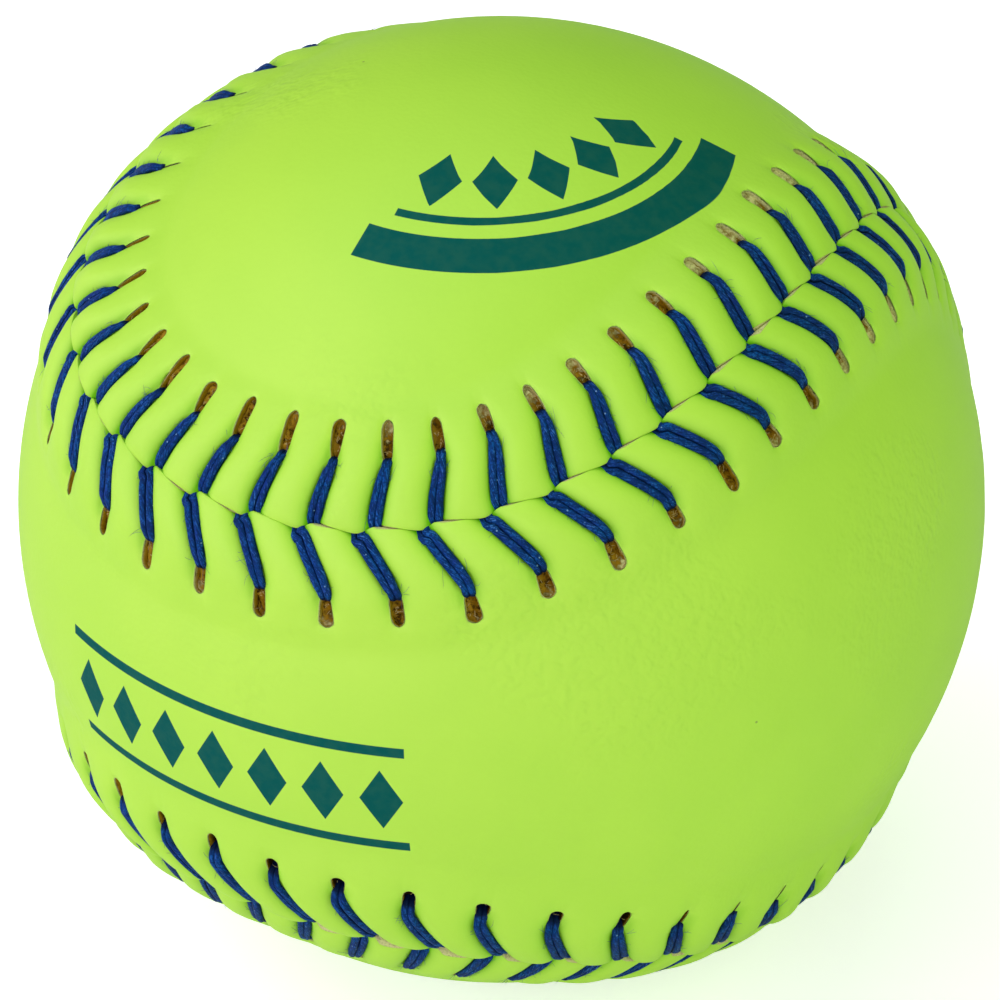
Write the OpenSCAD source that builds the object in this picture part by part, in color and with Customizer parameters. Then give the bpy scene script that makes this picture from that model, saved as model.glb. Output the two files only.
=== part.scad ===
// Twelve-inch fastpitch softball, built up from the centre outwards.
// The seam lies on a closed curve with two mirror planes, X = 0 and Z = 0.
// The back panel has its lobes up and down and its waist at +Y.
// The front panel has its lobes left and right and its waist at -Y.

/* [Ball] */
// Diameter over the plain leather, between the seams
cover_d = 96.2; // [90:0.1:104]
// How far the waist of each panel is drawn in, as a share of the radius
seam_lobe_share = 0.453; // [0.4:0.001:0.5]
// How far the seam swings to the front and back, as a share of the radius
seam_swing_share = 1.075; // [0.95:0.005:1.2]
// How square the turns of the seam are, as a share of the radius
seam_square_share = 0.041; // [0:0.001:0.06]

/* [Cover] */
// Thickness of the leather
leather_t = 1.3; // [1:0.05:1.5]
// Height of the padded lobes of the seam above the plain leather
seam_rise = 2; // [1.6:0.05:2.4]
// Distance from the seam to the crest of its lobes
crest_out = 3.4; // [2.8:0.1:4]
// Width of the slope from the holes down to the plain leather
foot_w = 3.2; // [2.4:0.1:5]

/* [Stitches] */
// Number of stitches round the seam, on each panel
stitches = 84; // [76, 80, 84, 88, 92]
// Distance from the seam to the near end of a stitch hole
hole_near = 6.4; // [6:0.1:7]
// Length of a stitch hole, away from the seam
hole_len = 3.2; // [2:0.1:4]
// Width of the doubled thread, two strands side by side
thread_w = 1.44; // [1:0.02:1.5]
// Thickness of one strand
thread_t = 0.72; // [0.5:0.02:0.76]
// Clearance of the thread in its holes and in the slit between the panels
thread_play = 0.1; // [0.05:0.01:0.2]

/* [Inside] */
// Thickness of the yarn winding round the cork-and-rubber centre
winding_t = 3.92; // [2:0.02:8]
// Thickness of the rubber cement over the winding
cement_t = 0.5; // [0.3:0.05:0.8]
// Fitting clearance between one layer and the next
layer_gap = 0.05; // [0.02:0.01:0.1]
// Clearance of the leather over the cement
cover_fit = 0.28; // [0.2:0.01:0.35]

/* [Hidden] */
$fn = 96;
cover_r = cover_d / 2;
hole_far = hole_near + hole_len;
foot_out = hole_far + foot_w;
slit_w = thread_t + 2 * thread_play;
hole_w = thread_w + 2 * thread_play;
cement_r = cover_r - leather_t - cover_fit;
winding_r = cement_r - cement_t - layer_gap;
core_r = winding_r - winding_t - layer_gap;

// Heights over the plain leather, at the slit, the crest, and the two ends of the holes.
// The thread lies in grooves that are lower than the lobes of leather between them.
groove_shares = [0.5, 0.66, 0.62, 0.36];
lobe_shares = [0.9, 1, 0.84, 0.42];
// Where a stitch dives into the slit past its hole, in stitches, on the back and front panels
back_lean_share = 0.25;
front_lean_share = 0.5;
// How far round each lobe the spine of a panel reaches, in degrees from its waist
spine_reach_angle = 104;
// How many columns of the cover fan out from the end of the spine, to each side
spine_from = round(stitches / 12);
// Rings between the foot of the raised seam and the spine, as shares of that distance
plain_ring_shares = [0, 0.22, 0.46, 0.72];
// Air between the thread and the leather under it, and the cement under it
over_air = 0.05;
under_air = 0.16;
thread_sides = 5;

// The closed curve of the seam
function seam_raw(s) = [
    cos(s) - seam_lobe_share * cos(3 * s),
    seam_swing_share * cos(2 * s) - seam_square_share * cos(6 * s),
    sin(s) + seam_lobe_share * sin(3 * s)];
function unit(v) = v / norm(v);
function seam_point(s) = unit(seam_raw(s));

// Table of distance round the seam against the curve's own angle, for even stitches
seam_steps = 720;
seam_step_a = 360 / seam_steps;
function running_sum(v) = [for (i = 0, total = 0; i <= len(v); total = total + (i < len(v) ? v[i] : 0),
    i = i + 1) total];
seam_lengths = running_sum([for (i = [0 : seam_steps - 1])
    norm(seam_point((i + 1) * seam_step_a) - seam_point(i * seam_step_a))]);
seam_total = seam_lengths[seam_steps];
stitch_table = [for (i = [0 : seam_steps]) [stitches * seam_lengths[i] / seam_total, i * seam_step_a]];
stitch_pitch = cover_r * seam_total / stitches;

// Angle on the curve of a place counted in stitches round the seam
function seam_angle(u) = 360 * floor(u / stitches)
    + lookup(u - stitches * floor(u / stitches), stitch_table);
function along(u) = let (s = seam_angle(u), d = seam_step_a)
    unit(seam_point(s + d) - seam_point(s - d));
// Direction of a place u stitches round the seam and d beside it, d > 0 on the front panel
function beside(u, d) = let (p = seam_point(seam_angle(u)), a = d / cover_r * 180 / PI)
    p * cos(a) + cross(p, along(u)) * sin(a);

// Triangles between two closed rings, the first with 1 to 4 times as many points
function ring_band(a, na, b, nb) = let (k = na / nb, h = ceil(k / 2)) [
    for (j = [0 : nb - 1]) let (j2 = (j + 1) % nb) each [
        for (i = [0 : k - 1]) let (p = a + (k * j + i), q = a + (k * j + i + 1) % na)
            [p, q, b + (i < h ? j : j2)],
        [a + (k * j + h) % na, b + j2, b + j]]];
// The last band, where the two halves of a ring close onto one spine, with a fan at each end
function spine_index(j) = min(max(j, spine_from), stitches / 2 - spine_from) - spine_from;
function spine_band(a, na, b) = [for (j = [0 : na / 2 - 1])
    let (left = a + j, left2 = left + 1, right = a + (na - j) % na, right2 = a + na - j - 1)
    let (near = b + spine_index(j), far = b + spine_index(j + 1))
    each near == far ? [[left, left2, near], [right2, right, near]]
        : j < na / 4 ? [[left, left2, near], [left2, far, near],
            [right2, right, near], [far, right2, near]]
        : [[left, left2, far], [left, far, near],
            [right2, right, far], [far, right, near]]];
// The bands from the foot of the raised seam to the spine, from the starts of their rings
function plain_bands(starts) = concat(
    [for (k = [0 : len(starts) - 3]) each ring_band(starts[k], stitches, starts[k + 1], stitches)],
    spine_band(starts[len(starts) - 2], stitches, starts[len(starts) - 1]));
function turned(faces) = [for (f = faces) [f[2], f[1], f[0]]];
function quad(a, b, c, d) = [[a, b, c], [a, c, d]];

// Cover panels: side is -1 for the back panel and 1 for the front one
hole_half_share = hole_w / 2 / stitch_pitch;
// Half the width of a lobe's flat top, in stitches
lobe_top_share = 0.17;
column_shares = [-hole_half_share, hole_half_share, 0.5 - lobe_top_share, 0.5 + lobe_top_share];
seam_row_ds = [slit_w / 2, crest_out, hole_near, hole_far];

function leaning(u, d, lean) = u + lean * max(0, 1 - d / hole_near);
function panel_tip(side) = side < 0 ? stitches / 4 : 0;
function spine_dir(side, k) = let (f = spine_reach_angle * cos(seam_angle(k + spine_from)))
    side < 0 ? [0, cos(f), sin(f)] : [sin(f), -cos(f), 0];
function between(a, b, f) = let (w = acos(a * b)) (a * sin((1 - f) * w) + b * sin(f * w)) / sin(w);

// One ring of points near the seam, n columns to a stitch
function seam_ring(side, lean, row, n, drop) = [
    for (j = [0 : stitches - 1], c = [0 : n - 1])
        let (u = leaning(panel_tip(side) + j + column_shares[c], seam_row_ds[row], lean))
        let (share = c < 2 ? groove_shares[row] : lobe_shares[row])
        beside(u, side * seam_row_ds[row]) * (cover_r + share * seam_rise - drop)];
// One ring of points past the foot of the raised seam, a share f of the way to the spine
function plain_ring(side, f, drop) = [
    for (j = [0 : stitches - 1]) let (u = panel_tip(side) + j)
        let (k = spine_index(min(j, stitches - j)))
        between(beside(u, side * foot_out), spine_dir(side, k), f) * (cover_r - drop)];
function plain_rings(side, drop) = [
    for (f = plain_ring_shares) plain_ring(side, f, drop),
    [for (k = [0 : stitches / 2 - 2 * spine_from]) spine_dir(side, k) * (cover_r - drop)]];

module cover_panel(side, lean) {
    n4 = 4 * stitches;
    n2 = 2 * stitches;
    n1 = stitches;
    outer_rings = [
        for (row = [0 : 3]) seam_ring(side, lean, row, 4, 0),
        each plain_rings(side, 0)];
    inner_rings = [
        for (row = [0, 2, 3]) seam_ring(side, lean, row, 2, leather_t),
        each plain_rings(side, leather_t)];
    rings = concat(outer_rings, inner_rings);
    start = running_sum([for (r = rings) len(r)]);
    o = start;
    i = [for (k = [0 : len(inner_rings)]) start[len(outer_rings) + k]];
    // The band over the holes is left open at each hole
    outer_holes = [for (j = [0 : n1 - 1], c = [1 : 3])
        let (a = 4 * j + c, b = (a + 1) % n4)
        each quad(o[2] + a, o[2] + b, o[3] + b, o[3] + a)];
    inner_holes = [for (j = [0 : n1 - 1])
        let (a = 2 * j + 1, b = (a + 1) % n2)
        each quad(i[1] + a, i[1] + b, i[2] + b, i[2] + a)];
    hole_walls = [for (j = [0 : n1 - 1])
        let (p = 4 * j, q = p + 1, r = 2 * j, s = r + 1) each concat(
            quad(o[2] + p, o[2] + q, i[1] + s, i[1] + r),
            quad(o[2] + q, o[3] + q, i[2] + s, i[1] + s),
            quad(o[3] + q, o[3] + p, i[2] + r, i[2] + s),
            quad(o[3] + p, o[2] + p, i[1] + r, i[2] + r))];
    slit_wall = [for (j = [0 : n1 - 1])
        let (p = 4 * j, p4 = (p + 4) % n4, r = 2 * j, r2 = (r + 2) % n2) each [
            [o[0] + p + 1, o[0] + p, i[0] + r],
            [o[0] + p + 1, i[0] + r, i[0] + r + 1],
            [o[0] + p + 2, o[0] + p + 1, i[0] + r + 1],
            [o[0] + p + 2, i[0] + r + 1, i[0] + r2],
            [o[0] + p + 3, o[0] + p + 2, i[0] + r2],
            [o[0] + p4, o[0] + p + 3, i[0] + r2]]];
    outer_faces = concat(
        ring_band(o[0], n4, o[1], n4),
        ring_band(o[1], n4, o[2], n4),
        outer_holes,
        ring_band(o[3], n4, o[4], n1),
        plain_bands([for (k = [4 : len(outer_rings) - 1]) o[k]]));
    inner_faces = concat(
        ring_band(i[0], n2, i[1], n2),
        inner_holes,
        ring_band(i[2], n2, i[3], n1),
        plain_bands([for (k = [3 : len(inner_rings) - 1]) i[k]]));
    faces = concat(outer_faces, turned(inner_faces), hole_walls, slit_wall);
    polyhedron([for (r = rings) each r], side < 0 ? faces : turned(faces), convexity = 8);
}

// Thread of one needle: it crosses from panel to panel at every stitch, and closes on itself
thread_r = thread_t / 2;
thread_lift = thread_r + over_air;
under_r = cement_r + under_air + thread_r;
hole_stand = hole_near + thread_r + thread_play / 2;
function groove_r(row) = cover_r + groove_shares[row] * seam_rise;

// Up through a hole, over the groove, down the slit; the next hole is on the other panel
function stitch_path(n, side, lean) = [
    beside(n, side * hole_stand) * under_r,
    beside(n, side * hole_stand) * (groove_r(2) + thread_lift),
    beside(leaning(n, crest_out, lean), side * crest_out) * (groove_r(1) + thread_lift),
    beside(n + lean, 0) * (groove_r(0) + thread_lift),
    beside(n + lean, 0) * under_r];
function stitch_widths(n, lean) = [
    for (u = [n, n, leaning(n, crest_out, lean), n + lean, n + lean]) along(u)];
function needle_side(n, needle) = (n + needle) % 2 == 0 ? -1 : 1;
function side_lean(side) = side < 0 ? back_lean_share : front_lean_share;

// One ring of the tube, mitred between the runs before and after it
function tube_ring(before, at, after, wide) =
    let (t1 = unit(at - before), t2 = unit(after - at), t = unit(t1 + t2))
    let (thick = unit(cross(wide, t)) / (t * t1))
    [for (k = [0 : thread_sides - 1]) let (a = 360 * k / thread_sides + 90)
        at + wide * (thread_w / 2 * cos(a)) + thick * (thread_r * sin(a))];

module needle_thread(needle) {
    path = [for (n = [0 : stitches - 1]) let (side = needle_side(n, needle))
        each stitch_path(n, side, side_lean(side))];
    widths = [for (n = [0 : stitches - 1]) let (side = needle_side(n, needle))
        each stitch_widths(n, side_lean(side))];
    count = len(path);
    step = count / stitches;
    gaps = [for (k = [0 : count - 1], m = [k + step : k + count - step]) norm(path[k] - path[m % count])];
    echo(least_gap_of_the_thread_to_itself = min(gaps) - thread_w);
    points = [for (k = [0 : count - 1])
        each tube_ring(path[(k + count - 1) % count], path[k], path[(k + 1) % count], widths[k])];
    faces = [for (k = [0 : count - 1], c = [0 : thread_sides - 1])
        let (a = k * thread_sides, b = ((k + 1) % count) * thread_sides, c2 = (c + 1) % thread_sides)
        each quad(a + c, a + c2, b + c2, b + c)];
    polyhedron(points, faces, convexity = 10);
}

module core() {
    color("sienna") sphere(r = core_r);
}

module hollow_ball(outer, inner) {
    difference() {
        sphere(r = outer);
        sphere(r = inner);
    }
}

module yarn_winding() {
    color("ivory") hollow_ball(winding_r, winding_r - winding_t);
}

module cement_coat() {
    color("burlywood") hollow_ball(cement_r, cement_r - cement_t);
}

module back_cover_panel() {
    color("greenyellow") cover_panel(-1, back_lean_share);
}

module front_cover_panel() {
    color("yellowgreen") cover_panel(1, front_lean_share);
}

module first_needle_thread() {
    color("royalblue") needle_thread(0);
}

module second_needle_thread() {
    color("mediumblue") needle_thread(1);
}

core();
yarn_winding();
cement_coat();
back_cover_panel();
front_cover_panel();
first_needle_thread();
second_needle_thread();
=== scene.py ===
"""Looks of a twelve-inch fastpitch softball: sewn leather cover, doubled thread and wound core."""
import math

import bpy
import numpy as np
from bpy.props import FloatProperty, FloatVectorProperty, IntProperty, PointerProperty
from mathutils import Matrix, Vector


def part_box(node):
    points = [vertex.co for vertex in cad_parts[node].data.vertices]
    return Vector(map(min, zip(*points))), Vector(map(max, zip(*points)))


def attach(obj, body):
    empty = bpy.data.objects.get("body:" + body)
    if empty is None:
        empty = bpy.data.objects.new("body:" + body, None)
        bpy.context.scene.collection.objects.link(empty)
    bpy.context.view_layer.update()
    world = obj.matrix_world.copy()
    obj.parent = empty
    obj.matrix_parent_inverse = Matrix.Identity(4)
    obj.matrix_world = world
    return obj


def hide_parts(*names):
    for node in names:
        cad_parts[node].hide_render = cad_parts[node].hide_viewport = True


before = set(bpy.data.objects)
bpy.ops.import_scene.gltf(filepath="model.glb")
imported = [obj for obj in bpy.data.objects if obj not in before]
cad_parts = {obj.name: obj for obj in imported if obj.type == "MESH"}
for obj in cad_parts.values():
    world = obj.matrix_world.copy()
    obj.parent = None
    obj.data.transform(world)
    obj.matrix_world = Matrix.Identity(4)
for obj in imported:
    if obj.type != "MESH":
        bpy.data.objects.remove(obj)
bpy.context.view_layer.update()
COVER_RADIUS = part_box("back_cover_panel")[1].z

bl_info = {
    "name": "Softball",
    "version": (1, 0, 0),
    "blender": (4, 5, 0),
    "location": "View3D > Sidebar > Softball",
    "description": "Models the sewn leather cover, the thread and the finishes of a softball",
    "category": "Object",
}

MM = 0.001
# The side of the seam on which a panel lies
BACK, FRONT = -1, 1


def length(name, description, value):
    """A size in metres that is typed in millimetres."""
    return FloatProperty(name=name, description=description, default=value * MM, unit="LENGTH",
                         subtype="DISTANCE", precision=5)


def number(name, description, value):
    """A plain number, such as a share or a place that is counted in stitches."""
    return FloatProperty(name=name, description=description, default=value, precision=3)


def angle(name, description, degrees):
    """An angle that is typed in degrees."""
    return FloatProperty(name=name, description=description, default=math.radians(degrees), subtype="ANGLE")


def colour(name, description, value):
    return FloatVectorProperty(name=name, description=description, default=(*value, 1.0), size=4,
                               subtype="COLOR", min=0.0, max=1.0)


class SeamSizes(bpy.types.PropertyGroup):
    """The line of the seam and the form of the leather beside it."""
    cover_radius: length("Cover radius", "Radius of the plain leather", COVER_RADIUS / MM)
    stitches: IntProperty(name="Stitches", description="Stitches round the seam on each panel", default=84)
    seam_lobe: number("Waist", "How far the waist of a panel is drawn in, of the radius", 0.453)
    seam_swing: number("Swing", "How far the seam swings to front and back, of the radius", 1.075)
    seam_square: number("Square", "How square the turns of the seam are, of the radius", 0.041)
    leather: length("Leather", "Thickness of the leather", 1.3)
    rise: length("Rise", "Height of the lobes beside the seam", 2.0)
    crest: length("Crest", "Distance from the seam to the crest of a lobe", 3.4)
    foot: length("Foot", "Distance from the seam to plain leather", 12.8)
    hole_near: length("Hole start", "Distance from the seam to the near end of a hole", 6.4)
    hole_far: length("Hole end", "Distance from the seam to the far end of a hole", 9.6)
    hole_width: length("Hole width", "Width of a stitch hole", 1.3)
    hole_end: length("Hole end round", "Length over which the end of a hole rounds off", 0.95)
    back_lean: number("Back lean", "Where a back stitch dives past its hole, in stitches", 0.25)
    front_lean: number("Front lean", "Where a front stitch dives past its hole, in stitches", 0.5)
    wander: number("Wander", "How unevenly the stitches lean, in stitches", 0.03)
    back_bow: number("Back bow", "How far a back stitch bows towards its dive, of its lean", 0.8)
    front_bow: number("Front bow", "How far a front stitch bows towards its dive, of its lean", -0.1)
    swerve: length("Swerve", "How far the joint of the panels swerves at each stitch", 0.4)
    slack_hole: number("Slack hole", "Stitch in the middle of the slacker sewing", 22.5)
    slack_reach: number("Slack reach", "Stitches over which it grows tight again", 9.0)
    drift: length("Drift", "How far the back panel was pulled over the middle line in one place", 2.2)
    drift_hole: number("Drift hole", "Stitch in the middle of that place", 37.0)
    drift_reach: number("Drift reach", "Stitches over which it dies out", 8.0)


class ThreadSizes(bpy.types.PropertyGroup):
    """The doubled waxed thread of each needle."""
    strand: length("Strand", "Width of one strand", 0.86)
    flat: number("Flat", "Height of a strand as a share of its width", 0.86)
    spread: length("Spread", "Distance between the middles of the two strands", 0.79)
    ply_lay: length("Ply lay", "Length of one turn of the plies in a strand", 7.5)
    under: length("Under run", "Depth of the thread under the plain leather's face", 1.06)


class BallColours(bpy.types.PropertyGroup):
    """Colours of the finishes."""
    leather: colour("Leather", "Optic yellow-green of the leather", (0.433, 0.784, 0.036))
    ink: colour("Ink", "Dark teal print", (0.0015, 0.091, 0.072))
    raw_leather: colour("Raw leather", "Cut edges of the leather", (0.60, 0.62, 0.24))
    thread: colour("Thread", "Blue of the waxed thread", (0.0022, 0.055, 0.26))
    thread_light: colour("Thread light", "Worn and raised fibres of the thread", (0.075, 0.235, 0.56))
    glue: colour("Glue", "Cement pressed up into the holes", (0.19, 0.098, 0.001))
    thin_glue: colour("Thin glue", "Cement where it lies thinly", (0.47, 0.31, 0.02))
    stain: colour("Stained leather", "Sides of the holes, stained by the cement", (0.34, 0.22, 0.006))
    fibre: colour("Fibre", "Pale fibres in the holes", (0.56, 0.46, 0.16))
    cement: colour("Cement", "Rubber cement over the winding", (0.50, 0.30, 0.09))
    yarn: colour("Yarn", "Cotton and wool yarn of the winding", (0.72, 0.66, 0.52))
    core: colour("Core", "Cork and rubber centre", (0.20, 0.10, 0.045))
    cork: colour("Cork", "Cork crumbs of the centre", (0.46, 0.27, 0.12))


class StageSizes(bpy.types.PropertyGroup):
    """Camera, lamps and floor."""
    azimuth: angle("Azimuth", "Angle of the view round the ball, from -Y to +X", 39.05)
    elevation: angle("Elevation", "Angle of the view above the horizon", 33.02)
    roll: angle("Roll", "Turn of the camera about its own axis", -1.98)
    distance: length("Distance", "Camera to the middle of the ball", 22.5 * COVER_RADIUS / MM)
    lens: number("Lens", "Focal length in millimetres", 391.3)
    shift_right: number("Shift right", "Shift of the picture's frame, of its width", -0.00164)
    shift_up: number("Shift up", "Shift of the picture's frame, of its width", -0.00076)
    floor: length("Floor", "Width of the floor", 6000.0)


def unit(vectors):
    """The same directions at length 1."""
    return vectors / np.linalg.norm(vectors, axis=-1, keepdims=True)


def eased(x, xs, ys):
    """Smooth heights at x on a curve through the points (xs, ys), level beyond its ends."""
    xs, ys = np.asarray(xs, float), np.asarray(ys, float)
    step = np.diff(ys) / np.diff(xs)
    slope = np.zeros_like(ys)
    same = step[:-1] * step[1:] > 0
    slope[1:-1][same] = 2 * step[:-1][same] * step[1:][same] / (step[:-1] + step[1:])[same]
    x = np.clip(x, xs[0], xs[-1])
    i = np.clip(np.searchsorted(xs, x) - 1, 0, len(xs) - 2)
    wide = xs[i + 1] - xs[i]
    t = (x - xs[i]) / wide
    rise = t * t * (3 - 2 * t)
    return (ys[i] * (1 - rise) + ys[i + 1] * rise
            + wide * slope[i] * t * (1 - t) ** 2 - wide * slope[i + 1] * t * t * (1 - t))


def bump(distance, half_width):
    """1 at no distance, falling smoothly to 0 at half_width."""
    return np.cos(np.clip(np.abs(distance) / half_width, 0, 1) * math.pi / 2) ** 2


def fading(distance, reach, power):
    """1 at no distance, falling to 0 at a reach: the higher the power, the sooner."""
    return np.clip(1 - distance / reach, 0, 1) ** power


# How the sewing changes round the seam: for each panel, stitches and the shares there, from 0 to 1.
# How much cement shows in the holes, how high the leather rises, how wide the holes are open
STAINS = {BACK: ([0, 7, 12, 16, 20, 28, 33, 60, 70, 84], [0.2, 0.1, 0.55, 0.7, 1.0, 1.0, 0.4, 0.4, 0.5, 0.2]),
          FRONT: ([0, 6, 10, 14, 24, 30, 58, 66, 74, 84], [0.3, 0.1, 0.45, 0.9, 0.9, 0.5, 0.7, 1.0, 0.7, 0.3])}
RISES = {BACK: ([0, 2, 5, 9, 25, 29, 32, 38, 45, 60, 61.5, 63, 66, 69, 71, 75, 84],
                [0.7, 0.7, 0.8, 1, 1, 0.82, 0.57, 0.5, 1, 1, 0.75, 0.65, 1, 0.85, 0.85, 1, 0.7]),
         FRONT: ([0, 3, 5, 7, 10, 26, 30, 36, 44, 72, 78, 84],
                 [0.5, 0.62, 0.82, 0.95, 1, 1, 0.8, 0.75, 1, 1, 0.8, 0.5])}
OPENS = {BACK: ([0, 22, 25, 27, 30, 38, 44, 84], [1, 1, 0.8, 0.45, 0.04, 0.04, 1, 1]),
         FRONT: ([0, 22, 24, 26, 34, 44, 58, 62, 68, 71, 78, 84],
                 [0.9, 0.82, 0.5, 0.12, 0.12, 0.9, 0.7, 0.8, 0.8, 0.12, 0.12, 0.9])}
# Single stretches, each by its middle stitch and the stitches to its ends: drawn tight, with full back lobes,
# gaping from the back dives on, gaping once, and with full thread
TIGHT, SWOLLEN, GAPING, SPLIT, FULL_THREAD = (67.5, 11.5), (29, 9), (6, 14), (64.5, 2), (4, 10)
# Least and most by which single stitches differ: the ends of the hole in millimetres, and shares
NEAR_SPREAD, FAR_SPREAD, TAPER_SPREAD = (-0.35, 0.3), (-0.25, 0.35), (-0.1, 0.3)
FULL_SPREAD, STAIN_SPREAD = (-0.06, 0.08), (-0.18, 0.18)
# What slack sewing adds to these, what tight sewing takes off the far end, and how full the swollen lobes are
SLACK_NEAR, SLACK_FAR, SLACK_TAPER, SLACK_FULL, TIGHT_FAR, SWOLLEN_FULL = -0.45, 0.6, 0.2, 0.1, 1.0, 0.1
# Gape of the joint in millimetres: its mean, spread, least and most, everywhere and where it is drawn tight,
# and what the gaping stretch and the single split add
PLAIN_GAPE, TIGHT_GAPE, GAPING_GAPE, SPLIT_GAPE = (0.1, 0.2, 0, 0.5), (0.85, 0.35, 0.3, 1.3), 0.38, 0.7
# Where the joint of the panels lies at a back dive, at a front dive and on the way to the next, of its swerve
SWERVES = (-0.4, 0.85, 0.1)
# Part of the way from a front dive to the next back dive where the joint is back near the middle
SWERVE_BACK = 0.45
# Width of the joint where it is shut. Then, in stitches, how soon a wedge opens, how long it is, what tight
# sewing adds to that, and how far past a front dive is the back dive that wedges of the gaping stretch run from
SHUT_JOINT = 0.012 * MM
WEDGE_OPENING, WEDGE_LENGTH, TIGHT_WEDGE, WEDGE_LEAD = 0.1, 0.5, 0.22, 0.75
# Shares of the rise from the seam to the foot: under a stitch, and on the lobes
GROOVE_SHARES = (0.42, 0.56, 0.55, 0.36, 0)
LOBE_SHARES = (0.92, 1.0, 1.04, 0.9, 0.45, 0)


class Seam:
    """The closed seam. A place is counted in stitches round it (u) and in metres beside it (d)."""
    STEPS = 5760

    def __init__(self, sizes):
        self.sizes, self.radius, self.stitches = sizes, sizes.cover_radius, sizes.stitches
        self.angles = np.linspace(0, 2 * math.pi, self.STEPS + 1)
        lengths = np.linalg.norm(np.diff(self.ideal(self.angles), axis=0), axis=1)
        self.counted = np.concatenate([[0], np.cumsum(lengths)]) * self.stitches / lengths.sum()
        self.pitch = self.radius * lengths.sum() / self.stitches
        self.vary(np.arange(self.stitches), np.random.default_rng(12))
        holes = np.arange(-1, self.stitches + 2).astype(float)
        back, front = holes + self.lean(BACK, holes), holes + self.lean(FRONT, holes)
        run = front[:-1] + SWERVE_BACK * (back[1:] - front[:-1])
        marks, levels = np.concatenate([back, front, run]), np.repeat(SWERVES, [len(back), len(front), len(run)])
        order = np.argsort(marks)
        self.joint_marks, self.joint_levels = marks[order], levels[order]

    def vary(self, every, chance):
        """What differs from stitch to stitch: its lean, the ends of its hole, the stain and the wedge there."""
        count = len(every)
        self.wander = {side: chance.uniform(-1, 1, count) * self.sizes.wander for side in (BACK, FRONT)}
        self.tight = self.near_hole(every, *TIGHT)
        self.near, self.far, self.taper, self.full, self.stain = {}, {}, {}, {}, {}
        for side, loose, drawn in ((BACK, self.slack(every), 0), (FRONT, 0, self.tight)):
            self.near[side] = (chance.uniform(*NEAR_SPREAD, count) + SLACK_NEAR * loose) * MM
            self.far[side] = (chance.uniform(*FAR_SPREAD, count) + SLACK_FAR * loose - TIGHT_FAR * drawn) * MM
            self.taper[side] = chance.uniform(*TAPER_SPREAD, count) + SLACK_TAPER * loose
            self.full[side] = 1 + chance.uniform(*FULL_SPREAD, count) + SLACK_FULL * loose
        self.full[BACK] += SWOLLEN_FULL * self.near_hole(every, *SWOLLEN)
        plain, drawn = (np.clip(chance.normal(mean, spread, count), least, most) * MM
                        for mean, spread, least, most in (PLAIN_GAPE, TIGHT_GAPE))
        self.gape = plain + GAPING_GAPE * MM * self.near_hole(every, *GAPING)
        self.gape += SPLIT_GAPE * MM * self.near_hole(every, *SPLIT) + self.tight * drawn
        for side, table in STAINS.items():
            self.stain[side] = np.clip(eased(every, *table) + chance.uniform(*STAIN_SPREAD, count), 0, 1)

    def ideal(self, s):
        """The even figure of the seam, before any stretch of it was pulled aside."""
        z = self.sizes
        return unit(np.stack([np.cos(s) - z.seam_lobe * np.cos(3 * s),
                              z.seam_swing * np.cos(2 * s) - z.seam_square * np.cos(6 * s),
                              np.sin(s) + z.seam_lobe * np.sin(3 * s)], -1))

    def point(self, s):
        z, step = self.sizes, 2 * math.pi / self.STEPS
        p = self.ideal(s)
        across = np.cross(p, unit(self.ideal(s + step) - self.ideal(s - step)))
        u = np.interp(np.mod(s, 2 * math.pi), self.angles, self.counted)
        off = (z.drift / self.radius * self.near_hole(u, z.drift_hole, z.drift_reach))[..., None]
        return p * np.cos(off) + across * np.sin(off)

    def angle(self, u):
        turns = np.floor(u / self.stitches)
        return 2 * math.pi * turns + np.interp(u - turns * self.stitches, self.counted, self.angles)

    def along(self, u):
        s, step = self.angle(u), 2 * math.pi / self.STEPS
        return unit(self.point(s + step) - self.point(s - step))

    def beside(self, u, d):
        u, d = np.broadcast_arrays(np.asarray(u, float), np.asarray(d, float))
        p, a = self.point(self.angle(u)), (d / self.radius)[..., None]
        return p * np.cos(a) + np.cross(p, self.along(u)) * np.sin(a)

    def place(self, side, u, d, height):
        """Where a point of a panel lies that is d from the seam and at a height over the plain leather."""
        return self.beside(u, side * d) * (self.radius + height)[..., None]

    def tip(self, side):
        """The stitch that stands at the tip of a panel's lobe."""
        return self.stitches // 4 if side == BACK else 0

    def near_hole(self, u, hole, reach):
        """1 at a stitch, falling smoothly to 0 at a reach of so many stitches from it."""
        away = (np.asarray(u, float) - hole + self.stitches / 2) % self.stitches - self.stitches / 2
        return bump(away, reach)

    def slack(self, u):
        """1 in the middle of the stretch where the back panel is sewn more slackly, 0 beyond it."""
        return self.near_hole(u, self.sizes.slack_hole, self.sizes.slack_reach)

    def joint(self, u):
        """How far the joint of the two panels lies off the seam's line, towards the front panel."""
        swerve = eased(np.asarray(u, float) % self.stitches, self.joint_marks, self.joint_levels)
        return self.sizes.swerve * swerve * (1 + 0.5 * self.slack(u))

    def opening(self, u):
        """Width of the joint, which gapes a little between some of the dives."""
        place = np.asarray(u, float) - self.sizes.front_lean
        hole = np.floor(place).astype(int)
        reach = WEDGE_LENGTH + TIGHT_WEDGE * self.tight[hole % self.stitches]
        # Right of the front the seam gapes from the back stitch's dive on, elsewhere from the front stitch's
        t = np.where(self.near_hole(hole, *GAPING) > 0.01, WEDGE_LEAD - place + hole, place - hole)
        closing = np.clip((reach - t) / (reach - WEDGE_OPENING), 0, 1) ** 1.2
        return SHUT_JOINT + self.gape[hole % self.stitches] * np.clip(t / WEDGE_OPENING, 0, 1) * closing

    def changing(self, table, side, u):
        """A share that changes round the seam, at a place."""
        return eased(np.asarray(u, float) % self.stitches, *table[side])

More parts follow.
